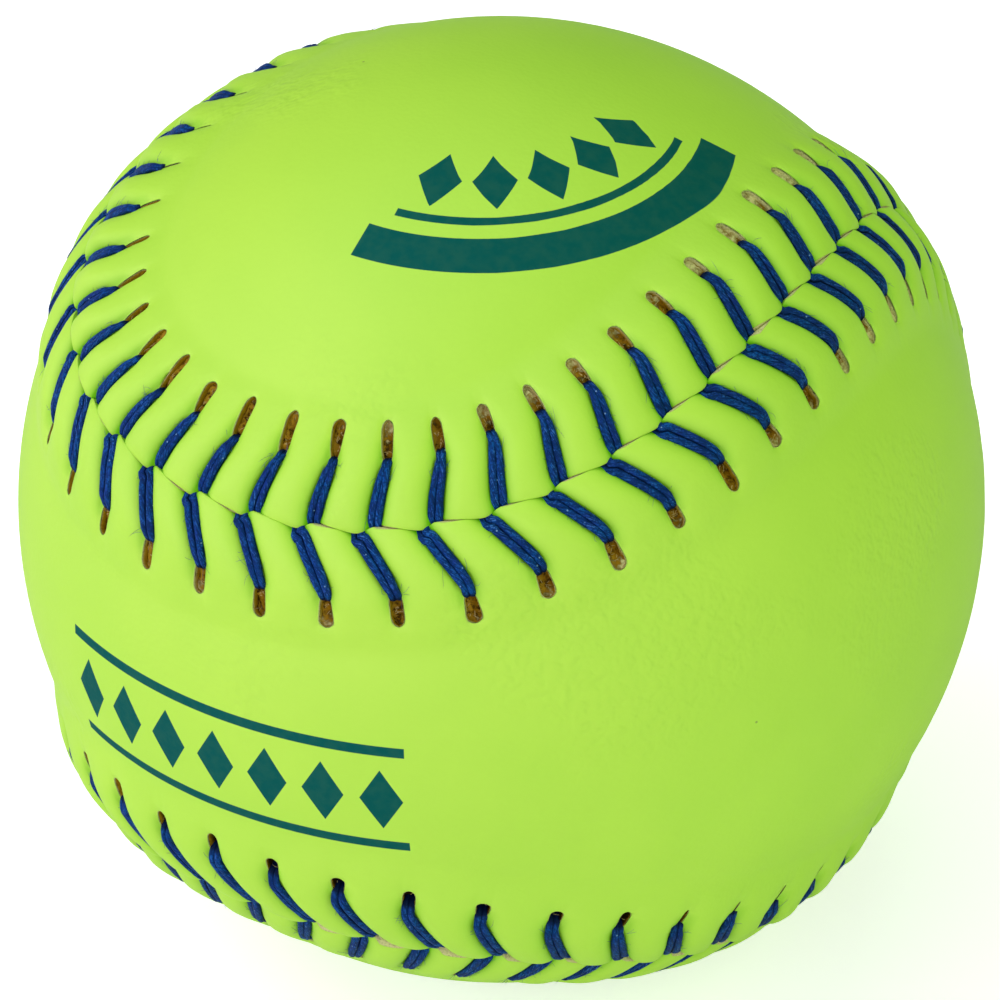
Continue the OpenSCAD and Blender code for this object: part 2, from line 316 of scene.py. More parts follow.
    def uneven(self, values, hole, x):
        """A value of each stitch at x stitches from its hole, where it blends into its neighbour's."""
        part = np.clip((np.abs(x) - 0.16) / 0.34, 0, 1)
        part = part * part * (3 - 2 * part) / 2
        neighbour = (hole + np.where(x < 0, -1, 1)) % self.stitches
        return values[hole % self.stitches] * (1 - part) + values[neighbour] * part

    def hole_ends(self, side, hole):
        """Distances from the seam of the near and the far end of a hole."""
        return self.sizes.hole_near + self.near[side][hole], self.sizes.hole_far + self.far[side][hole]

    def holes(self):
        """Every hole: its panel's side, its number, its near and far end, and how high the leather rises."""
        for side in (BACK, FRONT):
            for hole in range(self.stitches):
                yield side, hole, *self.hole_ends(side, hole), float(self.changing(RISES, side, hole))

    def lean(self, side, hole):
        """How far past its hole the stitch at a hole dives, also between holes."""
        base = self.sizes.back_lean if side == BACK else self.sizes.front_lean
        low = np.floor(hole)
        first, part = low.astype(int) % self.stitches, hole - low
        uneven = self.wander[side]
        return base + uneven[first] * (1 - part) + uneven[(first + 1) % self.stitches] * part

    def leaning(self, side, hole, d):
        """Place along the seam, d beside it, of the line that a stitch takes from its hole to its dive."""
        z = self.sizes
        part = np.clip(d / z.hole_near, 0, 1)
        bow = 0.5 + (z.back_bow if side == BACK else z.front_bow)
        return hole + self.lean(side, np.asarray(hole, float)) * (1 - part) ** 1.5 * (1 + bow * part)

    def groove_height(self, d, rise=1.0):
        """Height of the leather under a stitch, where the leather beside it rises to a share of its height."""
        z = self.sizes
        marks = [0, z.crest, z.hole_near, z.hole_far, z.foot]
        return z.rise * rise ** 1.7 * eased(d, marks, GROOVE_SHARES)

    def lobe_height(self, d):
        """Height of the full lobes between the stitches."""
        z = self.sizes
        return z.rise * eased(d, [0, 0.35 * z.crest, z.crest, z.hole_near, z.hole_far, z.foot], LOBE_SHARES)


# Places of the columns of a panel's mesh between one stitch and the next, in stitches
HALF_COLUMNS = [0.037, 0.074, 0.107, 0.135, 0.168, 0.21, 0.266, 0.337, 0.42]
COLUMNS = np.array([-c for c in reversed(HALF_COLUMNS)] + [0] + HALF_COLUMNS + [0.5])
HOLE_LEFT, HOLE_RIGHT = 6, 12
COARSE = 4
# Rows from the edge of the leather to the hole, along the hole, and from it to plain leather
EDGE_ROWS = [0, 0.06, 0.16, 0.32, 0.55, 0.85, 1.2, 1.6, 2.1, 2.65, 3.2, 3.8, 4.4, 5.0, 5.5, 5.9, 6.2]
HOLE_ROWS = [0, 0.06, 0.16, 0.3, 0.44, 0.58, 0.72, 0.83, 0.92, 0.97, 1]
FOOT_ROWS = [0.04, 0.12, 0.24, 0.4, 0.58, 0.78, 1]
HOLE_FIRST, HOLE_LAST = len(EDGE_ROWS), len(EDGE_ROWS) + len(HOLE_ROWS) - 1
# Parts of the way from the foot to the spine of a panel, on its outer and on its inner face
PLAIN_RINGS = [0.03, 0.09, 0.17, 0.26, 0.35, 0.44, 0.53, 0.62, 0.71, 0.8, 0.87, 0.94]
INNER_RINGS = [0.25, 0.5, 0.75]


class Shell:
    """Vertices, faces and vertex values of a mesh that is put together ring by ring."""

    def __init__(self):
        self.points, self.faces, self.cut, self.crease, self.total = [], [], [], [], 0

    def add(self, points, cut=0.0, crease=0.0):
        """Adds an array of points and returns an array of their numbers."""
        shape = points.shape[:-1]
        self.points.append(points.reshape(-1, 3))
        for store, value in ((self.cut, cut), (self.crease, crease)):
            store.append(np.broadcast_to(np.asarray(value, float), shape).reshape(-1))
        ids = np.arange(self.total, self.total + points.size // 3).reshape(shape)
        self.total += ids.size
        return ids

    def close(self, faces, turn=False):
        """Adds faces given as lists of numbers, turned inside out if asked."""
        self.faces.extend([f[::-1] for f in faces] if turn else faces)

    def quads(self, a, b, c, d, keep=True):
        faces = np.stack([a, b, c, d], -1)
        self.close(faces[np.broadcast_to(keep, a.shape)].tolist())

    def band(self, ring_a, ring_b, keep=True):
        """Quads between two closed rings of as many points, or between two stacks of such rings."""
        self.quads(ring_a, np.roll(ring_a, -1, axis=-1), np.roll(ring_b, -1, axis=-1), ring_b, keep)

    def thinning_band(self, fine, coarse, turn=False):
        """Triangles from a closed ring to one with a quarter of its points."""
        faces = []
        for j, middle in enumerate(coarse.tolist()):
            fan = [int(fine[(COARSE * j + k) % len(fine)]) for k in range(COARSE + 1)]
            faces += [[fan[k], fan[k + 1], middle] for k in range(COARSE)]
            faces.append([fan[COARSE], int(coarse[(j + 1) % len(coarse)]), middle])
        self.close(faces, turn)

    def spine_band(self, ring, spine, first, turn=False):
        """Closes a ring onto a spine, whose ends take a fan of columns each."""
        faces, last = [], len(spine) - 1
        for j in range(len(ring) // 2):
            near, far = (int(spine[min(max(k - first, 0), last)]) for k in (j, j + 1))
            left, right = [int(ring[j]), int(ring[j + 1])], [int(ring[-j]), int(ring[-j - 1])]
            if near == far:
                faces += [[left[0], left[1], near], [right[1], right[0], near]]
            else:
                faces += [[left[0], left[1], far, near], [right[1], right[0], near, far]]
        self.close(faces, turn)

    def mesh_object(self, name, inside_out=False):
        mesh = bpy.data.meshes.new(name)
        faces = [f[::-1] for f in self.faces] if inside_out else self.faces
        mesh.from_pydata(np.concatenate(self.points), [], faces)
        for label, store in (("cut", self.cut), ("crease", self.crease)):
            mesh.attributes.new(label, "FLOAT", "POINT").data.foreach_set("value", np.concatenate(store))
        mesh.polygons.foreach_set("use_smooth", np.ones(len(mesh.polygons), bool))
        mesh.update()
        return place_new(name, mesh)


def place_new(name, data):
    """A new object in the scene, at the origin."""
    piece = bpy.data.objects.new(name, data)
    bpy.context.scene.collection.objects.link(piece)
    return piece


def finish_piece(piece, material, slot, *nodes):
    """Gives a piece its finish, lets it ride on the ball and stand for CAD nodes."""
    piece.data.materials.append(material)
    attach(piece, "root")
    if nodes:
        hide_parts(*nodes)


def slot_rounding(x, y, half_width, half_length, end_length):
    """Moves places round a straight-sided hole so that its ends become round, each over end_length."""
    near_x, near_y = np.clip(x, -half_width, half_width), np.clip(y, -half_length, half_length)
    away = np.hypot(x - near_x, y - near_y)
    fade = fading(away, 1.4 * half_width, 2)
    end = np.clip((np.abs(near_y) - half_length + end_length) / end_length, 0, 1)
    across = near_x / half_width
    round_x = across * np.sqrt(1 - end ** 2 / 2)
    round_y = end * np.sqrt(1 - across ** 2 / 2)
    move_x = (round_x - across) * half_width * fade
    move_y = np.sign(near_y) * (round_y - end) * end_length * fade
    return move_x, move_y, away


# Reach of what a hole does to the mesh round it, and of what the joint does to the rows beside it
HOLE_REACH, JOINT_REACH = 1.6 * MM, 2.8 * MM
# Half width of the flat of a stitch's groove, how much narrower it is at the seam, and the width of its side
GROOVE_HALF, GROOVE_NARROWING, GROOVE_SIDE = 0.62, 0.2, 2.0 * MM
# Height of a lobe's crown between two stitches
CROWN = 0.16 * MM
# How far an edge stands off the seam's line where its cut shows fully, and how wide a joint is that gapes
PROUD_EDGE, GAPING_JOINT = 0.35 * MM, 0.14 * MM
# Roll of the leather down to its edge, in millimetres: depth and width where the cut is hidden, and what is added
# where it shows. Then depth and width of the roll into a hole
EDGE_DEPTH, EDGE_WIDTH, SHOWN_DEPTH, SHOWN_WIDTH = 0.07, 0.4, 0.25, 0.4
RIM_DEPTH, RIM_WIDTH = 0.16 * MM, 0.2 * MM
# Shade beside the thread, in millimetres from the stitch's middle: where it starts to fade, and how soon
SHADE_START, SHADE_FADE = 0.8, 0.34


def panel_grid(seam, side):
    """Places, heights and painted shade of the outer mesh of a panel, in rows from its edge to plain leather."""
    z = seam.sizes
    hole = np.repeat(np.arange(seam.stitches) + seam.tip(side), len(COLUMNS))
    column = np.tile(COLUMNS, seam.stitches)
    rows = np.concatenate([np.array(EDGE_ROWS) * MM,
                           z.hole_near + np.array(HOLE_ROWS) * (z.hole_far - z.hole_near),
                           z.hole_far + np.array(FOOT_ROWS) * (z.foot - z.hole_far)])
    x, d = np.meshgrid(column * seam.pitch, rows)
    middle, half = (z.hole_near + z.hole_far) / 2, (z.hole_far - z.hole_near) / 2
    move_x, move_y, away = slot_rounding(x, d - middle, z.hole_width / 2, half, z.hole_end)
    taper = seam.uneven(seam.taper[side], hole, column) * np.clip((d - middle) / half, -1, 1)
    beside = fading(away, HOLE_REACH, 2)
    closed = 1 - seam.changing(OPENS, side, hole)
    x = (x + move_x) * (1 + taper * beside) * (1 - closed * beside)
    d = d + move_y
    near, far, full = (seam.uneven(v[side], hole, column) for v in (seam.near, seam.far, seam.full))
    d = d + (near * np.interp(d, [0.3 * z.hole_near, z.hole_near, z.hole_far], [0, 1, 0])
             + far * np.interp(d, [z.hole_near, z.hole_far, z.foot], [0, 1, 0]))
    u = seam.leaning(side, hole + x / seam.pitch, d)
    gape = seam.opening(u[0])
    edge = side * seam.joint(u[0]) + gape / 2
    d = d + edge * fading(d, JOINT_REACH, 3)
    wall_start = (GROOVE_HALF - GROOVE_NARROWING * bump(d, 1.6 * MM)) * MM
    t = np.clip((np.abs(x) - wall_start) / GROOVE_SIDE, 0, 1)
    climb = (1 - (1 - t) ** 2) ** 0.72
    rise = seam.changing(RISES, side, u)
    groove = seam.groove_height(d, rise)
    lobe = rise * seam.lobe_height(d) * (1 + (full - 1) * bump(d - z.crest, 6 * MM))
    crown = CROWN * bump(x - np.sign(x) * seam.pitch / 2, seam.pitch / 2) * bump(d - z.crest, 5 * MM)
    height = groove + (lobe - groove) * climb + crown
    # The edge rolls down to the cut, and the rim of each hole down into it
    from_edge, proud = d - d[0], np.clip(-edge / PROUD_EDGE, 0, 1)
    roll_width = (EDGE_WIDTH + SHOWN_WIDTH * proud) * MM
    height -= (EDGE_DEPTH + SHOWN_DEPTH * proud) * MM * fading(from_edge, roll_width, 2.2)
    height -= RIM_DEPTH * np.exp(-away / RIM_WIDTH)
    # Painted shade: it is darker where it lies close to the thread, and in the corner at each dive where the edge
    # does not stand proud
    beside_thread = np.clip(np.abs(x) / MM - SHADE_START, 0, None)
    crease = np.exp(-beside_thread / SHADE_FADE) * np.clip(1.3 - d / z.hole_near, 0, 1) ** 0.6
    dive_shade = 0.8 * (1 - proud) * np.exp(-from_edge / (0.25 * MM)) * bump(x, 1.6 * MM)
    return u, d, x, height, edge, gape, np.maximum(crease, dive_shade)


def build_panel(name, seam, side):
    """One figure-8 panel: padded lobes along its edge, rows of holes, a cut edge and an inner face."""
    u, d, x, height, edge, gape, crease = panel_grid(seam, side)
    leather, shell = seam.sizes.leather, Shell()
    stitch, column = np.divmod(np.arange(u.shape[1]), len(COLUMNS))
    inside = (column >= HOLE_LEFT) & (column < HOLE_RIGHT)
    at_rim = inside | np.roll(inside, 1)
    proud, gapes = np.clip(-edge / PROUD_EDGE, 0, 1), np.clip(gape / GAPING_JOINT, 0, 1)
    stain = seam.stain[side][(stitch + seam.tip(side)) % seam.stitches]
    cut = np.zeros_like(height)
    cut[0] = 0.15 + 0.4 * proud + 0.6 * gapes
    cut[HOLE_FIRST:HOLE_LAST + 1, at_rim] = 0.84 - 0.22 * stain[at_rim]
    outer = shell.add(seam.place(side, u, d, height), cut, crease)
    keep = np.ones((len(outer) - 1, len(inside)), bool)
    keep[HOLE_FIRST:HOLE_LAST, inside] = False
    shell.band(outer[:-1], outer[1:], keep)

    # The cut edge, in three rings: how far out and how high, how much it is cut leather, and how dark, which is
    # painted shade in the colour of the cement stain, deeper into the joint and less where it gapes
    low, wall = edge - 0.48 * gape, outer[0]
    lip, inner_depth = height[0] - 0.05 * MM, np.full(len(inside), seam.groove_height(0) - leather)
    for wall_d, wall_height, wall_cut, wall_crease in (
            (edge - 0.1 * gape, lip, 0.2 + 0.2 * proud + 0.6 * gapes, 0.4 * (1 - gapes)),
            (low, height[0] - (0.5 - 0.24 * gapes) * MM, 0.9 * gapes, 0.9 - 0.85 * gapes),
            (low, inner_depth, 1.0, 1.0)):
        following = shell.add(seam.place(side, u[0], wall_d, wall_height), wall_cut, wall_crease)
        shell.band(following, wall)
        wall = following
    near, far = (shell.add(seam.place(side, u[row], d[row], seam.groove_height(d[row]) - leather), 1.0)
                 for row in (HOLE_FIRST, HOLE_LAST))
    shell.band(near, wall)
    shell.band(far, near, ~inside)
    build_hole_walls(shell, seam, side, outer, (near, far), (u, d, x, height))

    coarse = np.arange(2, len(inside), COARSE)
    foot_u, foot_d = u[-1][coarse], d[-1][coarse]
    feet = seam.beside(foot_u, side * (foot_d + 0.5 * MM))
    foot_ring = shell.add(feet * seam.radius)
    shell.thinning_band(outer[-1], foot_ring)
    inner_foot = shell.add(seam.beside(foot_u, side * foot_d) * (seam.radius - leather), 1.0)
    shell.thinning_band(far, inner_foot, turn=True)
    close_on_spine(shell, seam, side, feet, foot_ring, inner_foot)
    return shell.mesh_object(name, inside_out=side == BACK)


# How unevenly the sides of the holes are frayed, in millimetres, and what tight sewing adds to the walls' stain,
# partly stain and partly painted shade, as past 1 it turns to the dark of deep cement
FRAY, TIGHT_STAIN_AND_SHADE = 0.035, 0.9


def build_hole_walls(shell, seam, side, outer, inner, grid):
    """Walls of the stitch holes, from the rolled rim down to the inner face."""
    wide, down = HOLE_RIGHT - HOLE_LEFT, list(range(HOLE_FIRST + 1, HOLE_LAST))
    ends, far_corner = list(range(HOLE_LEFT, HOLE_RIGHT + 1)), wide + len(down) + 1
    # Once round a hole: its near end, its right side, its far end and its left side
    rows = [HOLE_FIRST] * len(ends) + down + [HOLE_LAST] * len(ends) + down[::-1]
    columns = np.array(ends + [HOLE_RIGHT] * len(down) + ends[::-1] + [HOLE_LEFT] * len(down))
    chance = np.random.default_rng(16)
    for stitch in range(seam.stitches):
        hole, start = (stitch + seam.tip(side)) % seam.stitches, stitch * len(COLUMNS)
        # The walls' cement stain, to which tight sewing adds painted shade
        stained = seam.stain[side][hole] + TIGHT_STAIN_AND_SHADE * seam.tight[hole] * (side == FRONT)
        u, d, x, height = (values[rows, start + columns] for values in grid)
        centre, flat_half = (d.min() + d.max()) / 2, (d.max() - d.min() - seam.sizes.hole_width) / 2
        to_x, to_d = -x, centre + np.clip(d - centre, -flat_half, flat_half) - d
        size = np.maximum(np.hypot(to_x, to_d), 1e-9)
        to_x, to_d = to_x / size, to_d / size
        ring = outer[rows, start + columns]
        # How far in and down, in millimetres, and how stained each ring of the wall is. Past 1 the stain turns to
        # painted shade, so the deepest ring is dark with painted shade
        for inset, drop, stain in ((0.02, 0.07, 0.75 * stained), (0.06, 0.35, 0.12 + 0.88 * stained),
                                   (0.02, 1.0, 1.8)):
            frayed = (inset + chance.normal(0, FRAY, len(x))) * MM
            following = shell.add(seam.place(side, u + to_x * frayed / seam.pitch, d + to_d * frayed,
                                             height - drop * MM), 1.0, stain)
            shell.band(following, ring)
            ring = following
        near, far = (row[start + HOLE_LEFT:start + HOLE_RIGHT + 1] for row in inner)
        far = far[::-1]
        for wall, end in ((ring[:wide + 1], near), (ring[far_corner:far_corner + wide + 1], far)):
            shell.quads(wall[1:], wall[:-1], end[:-1], end[1:])
        right, left = ring[wide:far_corner + 1], np.append(ring[far_corner + wide:], ring[0])
        shell.close([[*right[::-1].tolist(), int(near[-1]), int(far[0])],
                     [*left[::-1].tolist(), int(far[-1]), int(near[0])]])


# How far the spine of a panel reaches to either side of the middle of its waist
SPINE_REACH = math.radians(104)


def close_on_spine(shell, seam, side, feet, foot_ring, inner_foot):
    """The plain middle of a panel, drawn together on a spine down the middle of its figure 8."""
    count = len(feet)
    first = count // 12
    # Column 0 isn't at the tip of the lobe, so the rings are turned until their halves match
    tip = seam.point(seam.angle(np.array([seam.tip(side)])))[0]
    start = int(np.argmin(np.linalg.norm(feet - tip, axis=1)))
    feet, foot_ring, inner_foot = (np.roll(a, -start, axis=0) for a in (feet, foot_ring, inner_foot))
    steps = np.arange(count // 2 - 2 * first + 1) + first
    reach = SPINE_REACH * np.cos(2 * math.pi * steps / count)
    zero = np.zeros_like(reach)
    spine = np.stack([zero, np.cos(reach), np.sin(reach)] if side == BACK
                     else [np.sin(reach), -np.cos(reach), zero], -1)
    places = np.arange(count)
    target = spine[np.clip(np.minimum(places, count - places) - first, 0, len(spine) - 1)]
    turn = np.arccos(np.clip(np.sum(feet * target, -1), -1, 1))[:, None]
    for ring, parts, radius, is_inner in ((foot_ring, PLAIN_RINGS, seam.radius, False),
                                          (inner_foot, INNER_RINGS, seam.radius - seam.sizes.leather, True)):
        for part in parts:
            points = (feet * np.sin((1 - part) * turn) + target * np.sin(part * turn)) / np.sin(turn)
            following = shell.add(points * radius, is_inner)
            shell.band(*((following, ring) if is_inner else (ring, following)))
            ring = following
        shell.spine_band(ring, shell.add(spine * radius, is_inner), first, turn=is_inner)


# Distances from the seam, in millimetres, of the places of the thread on its way over the leather, and those
# from which on it is pinched and sinks towards its hole
OVER = (6.25, 5.7, 5.1, 4.4, 3.7, 3.0, 2.4, 1.8, 1.2)
PINCH_START, SINK_START, SINK = 4.2, 5.6, 0.28 * MM
# How far past the end of its hole the thread comes up, and how high it lies over the leather
STAND_IN, LIE_GAP = 0.5 * MM, 0.03 * MM
# Parts of the way under the other panel to the next hole
UNDER = (0.02, 0.35, 0.65, 0.96)
# How much a stitch of each panel is pinched at its hole, and how wide it stands in the hole
PINCHES = {BACK: (0.38, 0.6), FRONT: (0.16, 0.8)}


def stitch_route(seam, threads, hole, side, wide, narrow):
    """The thread's middle over a stitch and on to the next hole: (u, d, height, width, painted shade where the
    leather hides it or half hides it).
    """
    near, _ = seam.hole_ends(side, hole)
    stand, deep = near + STAND_IN, -threads.under
    lie = threads.strand * threads.flat / 2 + LIE_GAP
    lean = float(seam.lean(side, hole))
    dive = float(seam.joint(hole + lean)) * side
    rise = float(seam.changing(RISES, side, hole))
    lower = float(seam.groove_height(0) - seam.groove_height(0, rise))
    pinch, stem = PINCHES[side]
    up = [(0.0, stand, deep + 0.15 * MM, stem, 1.0), (0.0, stand, 0.1 * MM - lower, stem, 1.0),
          (0.0, stand - 0.1 * MM, 0.8 * MM - lower, stem, 0.8)]
    run = []
    for place in OVER:
        d = place * MM * near / seam.sizes.hole_near
        neck = max(0.0, (place - PINCH_START) / 2.2)
        sink = SINK * max(0.0, (place - SINK_START) / 0.6)
        slim = narrow * max(0.0, (place - OVER[-1]) / (OVER[0] - OVER[-1]))
        run.append((float(seam.leaning(side, hole, d)) - hole, d, float(seam.groove_height(d, rise)) + lie - sink,
                    wide * (1 - pinch * neck ** 1.5) * (1 - slim), 0.0))
    down = [(lean, dive + 0.5 * MM, 1.14 * MM - lower, wide, 0.1),
            (lean, dive - 0.1 * MM, 0.78 * MM - lower, wide, 0.6),
            (lean, dive - 0.3 * MM, 0.1 * MM - lower, 0.95, 1.0),
            (lean, dive - 0.3 * MM, -0.4 * MM - lower / 2, 0.85, 1.0)]
    across = [(lean + (1 - lean) * part, -part * stand, deep, 0.78, 1.0) for part in UNDER]
    return [(hole + u, side * d, h, w, dark) for u, d, h, w, dark in up + run + down + across]


def smooth_loop(points, cuts):
    """A closed curve through points, whose first three values are places, with each span cut in parts."""
    before, after = np.roll(points, 1, axis=0), np.roll(points, -1, axis=0)
    ahead = np.linalg.norm((after - points)[:, :3], axis=1)[:, None]
    behind = np.linalg.norm((points - before)[:, :3], axis=1)[:, None]
    slope = ((points - before) / behind * ahead + (after - points) / ahead * behind) / (ahead + behind)
    parts = []
    for k in range(cuts):
        t = k / cuts
        a, b = 2 * t ** 3 - 3 * t ** 2 + 1, t ** 3 - 2 * t ** 2 + t
        c, e = -2 * t ** 3 + 3 * t ** 2, t ** 3 - t ** 2
        parts.append(a * points + b * ahead * slope + c * after + e * ahead * np.roll(slope, -1, axis=0))
    return np.stack(parts, 1).reshape(-1, points.shape[1])


STRAND_SIDES = 12
# Least and most of a stitch's width, of how much it narrows to its hole, and of the tilt of its two strands
WIDTHS, NARROWING, TILTS = (0.91, 1.1), (0.0, 0.25), (-0.22, 0.22)
# How much narrower a slack stitch is, how much wider a full one, and how much more a back stitch narrows
SLACK_WIDTH, FULL_WIDTH, BACK_NARROWING = 0.2, 0.16, 0.12
# How deep the furrows between the plies are, of a strand's half width, and how many plies it has
PLY_DEPTH, PLIES = 0.025, 3
# Number in a stitch's route of the last place before the thread goes down into the joint
RUN_END = 2 + len(OVER)


def build_thread(name, seam, threads, needle):
    """The two strands of one needle, each a closed tube that crosses from panel to panel."""
    route, chance = [], np.random.default_rng(30 + needle)
    for hole in range(seam.stitches):
        side = BACK if (hole + needle) % 2 == 0 else FRONT
        wide = chance.uniform(*WIDTHS) * (1 - SLACK_WIDTH * seam.slack(hole) * (side == BACK))
        wide *= 1 + FULL_WIDTH * seam.near_hole(hole, *FULL_THREAD)
        narrow = chance.uniform(*NARROWING) + BACK_NARROWING * (side == BACK)
        route += stitch_route(seam, threads, hole, side, wide, narrow)
    route = np.array(route)
    places = seam.place(FRONT, route[:, 0], route[:, 1], route[:, 2])
    # Down in the joint the two strands lie side by side square to the stitch, elsewhere along the seam
    wide = seam.along(route[:, 0]).reshape(seam.stitches, -1, 3)
    stitch = places.reshape(seam.stitches, -1, 3)
    square = unit(np.cross(stitch[:, RUN_END], stitch[:, RUN_END] - stitch[:, RUN_END - 3]))
    square *= np.sign(np.sum(square * wide[:, RUN_END], -1, keepdims=True))
    wide[:, RUN_END:RUN_END + 4] = square[:, None]
    data = smooth_loop(np.hstack([places, wide.reshape(-1, 3), route[:, 3:5]]), 2)
    middle, wide, squeeze, hidden = data[:, :3], data[:, 3:6], data[:, 6], np.clip(data[:, 7:8], 0, 1)
    tangent = unit(np.roll(middle, -1, axis=0) - np.roll(middle, 1, axis=0))
    wide = unit(wide - tangent * np.sum(wide * tangent, -1, keepdims=True))
    thick = np.cross(tangent, wide)
    run = np.concatenate([[0], np.cumsum(np.linalg.norm(np.diff(middle, axis=0), axis=1))])
    total = run[-1] + np.linalg.norm(middle[0] - middle[-1])
    turns = round(total / threads.ply_lay)
    tilt = np.repeat(chance.uniform(*TILTS, seam.stitches), len(data) // seam.stitches)
    shell, uvs = Shell(), []
    lap = np.arange(STRAND_SIDES + 1) / STRAND_SIDES
    angles = lap[:-1] * 2 * math.pi
    start, end = run / threads.strand, np.append(run[1:], total) / threads.strand
    for strand in (-1, 1):
        offset = strand * threads.spread / 2 * squeeze
        centre = middle + wide * (offset * np.cos(tilt))[:, None] + thick * (offset * np.sin(tilt))[:, None]
        phase = 2 * math.pi * turns * run / total + chance.uniform(0, 6.28)
        plies = 1 + PLY_DEPTH * np.cos(PLIES * (angles[None] - phase[:, None]))
        half = threads.strand / 2 * plies * (0.45 + 0.55 * squeeze)[:, None]
        points = (centre[:, None] + wide[:, None] * (np.cos(angles)[None] * half)[..., None]
                  + thick[:, None] * (np.sin(angles)[None] * half * threads.flat)[..., None])
        # Painted shade: on the side of each strand that lies against the other, a little on its outer edge, and
        # where the leather hides the thread
        facing = -strand * np.cos(angles)
        shaded = np.clip(facing, 0, 1) ** 3 + 0.5 * np.clip(-facing, 0, 1) ** 6
        ids = shell.add(points, crease=np.maximum(shaded, hidden))
        shell.band(ids, np.roll(ids, -1, axis=0))
        corners = [np.stack(np.meshgrid(way, turn, indexing="ij"), -1) for way, turn in
                   ((start, lap[:-1]), (start, lap[1:]), (end, lap[1:]), (end, lap[:-1]))]
        uvs.append(np.stack(corners, 2).reshape(-1, 2) + [0, strand * 3])
    piece = shell.mesh_object(name)
    layer = piece.data.uv_layers.new(name="strand")
    layer.data.foreach_set("uv", np.concatenate(uvs).reshape(-1))
    return piece


# What fills a hole: how far it reaches beyond the hole's sides and ends, and the depth of its near end
FILL_BESIDE, FILL_BEYOND, FILL_SINK = 0.3 * MM, 0.25 * MM, 0.9 * MM
# Its depth in millimetres, what stain and tight sewing add, and the least and most that chance adds
FILL_DEPTH, STAINED_DEPTH, TIGHT_DEPTH, DEPTHS = 0.42, 0.4, 0.45, (-0.1, 0.14)
# Its lumps: their height, and how many radians they have to the millimetre across and along the hole
LUMP_HEIGHT, LUMP_RATES = 0.16 * MM, (3.1, 2.3)
# How rough it is in millimetres, how much smoother where it is stained, and how far its rim rises
FILL_ROUGH, STAINED_SMOOTH, FILL_RIM = 0.08, 0.03, 0.25 * MM
# Radius of a fibre and of a hair, and how many there are in a hole, in one that is drawn tight, and on a stitch
FIBRE_RADIUS, HAIR_RADIUS, FIBRES, TIGHT_FIBRES, HAIRS = 0.024 * MM, 0.014 * MM, 4, 1, 12


def build_glue(name, seam):
    """Cement and padding pressed up into the stitch holes: one plug modelled once and set in each hole."""
    bpy.ops.object.select_all(action="DESELECT")
    bpy.ops.mesh.primitive_grid_add(x_subdivisions=8, y_subdivisions=14, size=1)
    plug = bpy.context.object
    across, along = np.array([v.co[:2] for v in plug.data.vertices]).T
    faces = np.array([p.vertices[:] for p in plug.data.polygons])
    bpy.data.objects.remove(plug)
    chance, shell = np.random.default_rng(5), Shell()
    width = seam.sizes.hole_width + 2 * FILL_BESIDE
    for side, hole, near, far, rise in seam.holes():
        x, y = across * width, along * (far - near + 2 * FILL_BEYOND)
        d = (near + far) / 2 + y
        stain, drawn = seam.stain[side][hole], seam.tight[hole] * (side == FRONT)
        depth = (FILL_DEPTH + STAINED_DEPTH * stain + TIGHT_DEPTH * drawn + chance.uniform(*DEPTHS)) * MM
        waves = [np.sin(place / MM * rate + chance.uniform(0, 6)) for place, rate in zip((x, y), LUMP_RATES)]
        lump = LUMP_HEIGHT * waves[0] * waves[1]
        rough = chance.normal(0, (FILL_ROUGH - STAINED_SMOOTH * stain) * MM, len(x))
        sink = FILL_SINK * np.clip((near + FILL_SINK - d) / FILL_SINK, 0, 1)
        edge = FILL_RIM * np.maximum(np.abs(across * 2) ** 4, np.abs(along * 2) ** 6)
        height = seam.groove_height(d, rise) - depth + lump + rough - sink + edge
        rim = np.clip(np.maximum(0.5 + across * 2.6, np.abs(along) * 2), 0, 1)
        thin = (0.6 + 0.4 * seam.slack(hole - 3)) * (1 - drawn) * rim ** 2
        # Its second value is the cement stain, raised towards the hole's near end under the thread and where the
        # sewing is drawn tight: partly stain and partly painted shade, which past 1.25 turns to the dark of deep
        # cement
        ids = shell.add(seam.place(side, hole + x / seam.pitch, d, height), thin, stain - 0.9 * along + drawn)
        shell.close(ids[faces].tolist(), turn=side == FRONT)
    return shell.mesh_object(name)


def tube_along(shell, points, radius, sides=4):
    """A thin closed tube along a few points, tapered to both ends."""
    tangent = unit(np.gradient(points, axis=0))
    helper = unit(np.cross(tangent, np.array([0.31, 0.52, 0.79])))
    other = np.cross(tangent, helper)
    angles = np.arange(sides) / sides * 2 * math.pi
    taper = np.ones(len(points))
    taper[[0, -1]] = 0.3
    ring = helper[:, None] * np.cos(angles)[None, :, None] + other[:, None] * np.sin(angles)[None, :, None]
    ids = shell.add(points[:, None] + ring * (radius * taper)[:, None, None])
    shell.band(ids[:-1], ids[1:])
    shell.close([ids[0][::-1].tolist(), ids[-1].tolist()])


def build_fibres(name, seam):
    """Loose pale fibres that stick up out of the padding in the holes."""
    chance, shell, t = np.random.default_rng(9), Shell(), np.linspace(-0.5, 0.5, 5)
    for side, hole, near, far, rise in seam.holes():
        for _ in range(TIGHT_FIBRES if seam.tight[hole] * side > 0.1 else FIBRES):
            x0, d0 = chance.uniform(-0.4, 0.4) * MM, chance.uniform(near + 0.9 * MM, far - 0.3 * MM)
            turn, reach = chance.uniform(0, 2 * math.pi), chance.uniform(0.3, 0.8) * MM
            x = np.clip(x0 + np.cos(turn) * reach * t, -0.55 * MM, 0.55 * MM)
            d = np.clip(d0 + np.sin(turn) * reach * t, near + 0.5 * MM, far - 0.15 * MM)
            arch = chance.uniform(0, 0.3) * MM * (1 - 4 * t * t)
            height = seam.groove_height(d, rise) - 0.6 * MM + arch
            tube_along(shell, seam.place(side, hole + x / seam.pitch, d, height), FIBRE_RADIUS)
    return shell.mesh_object(name)


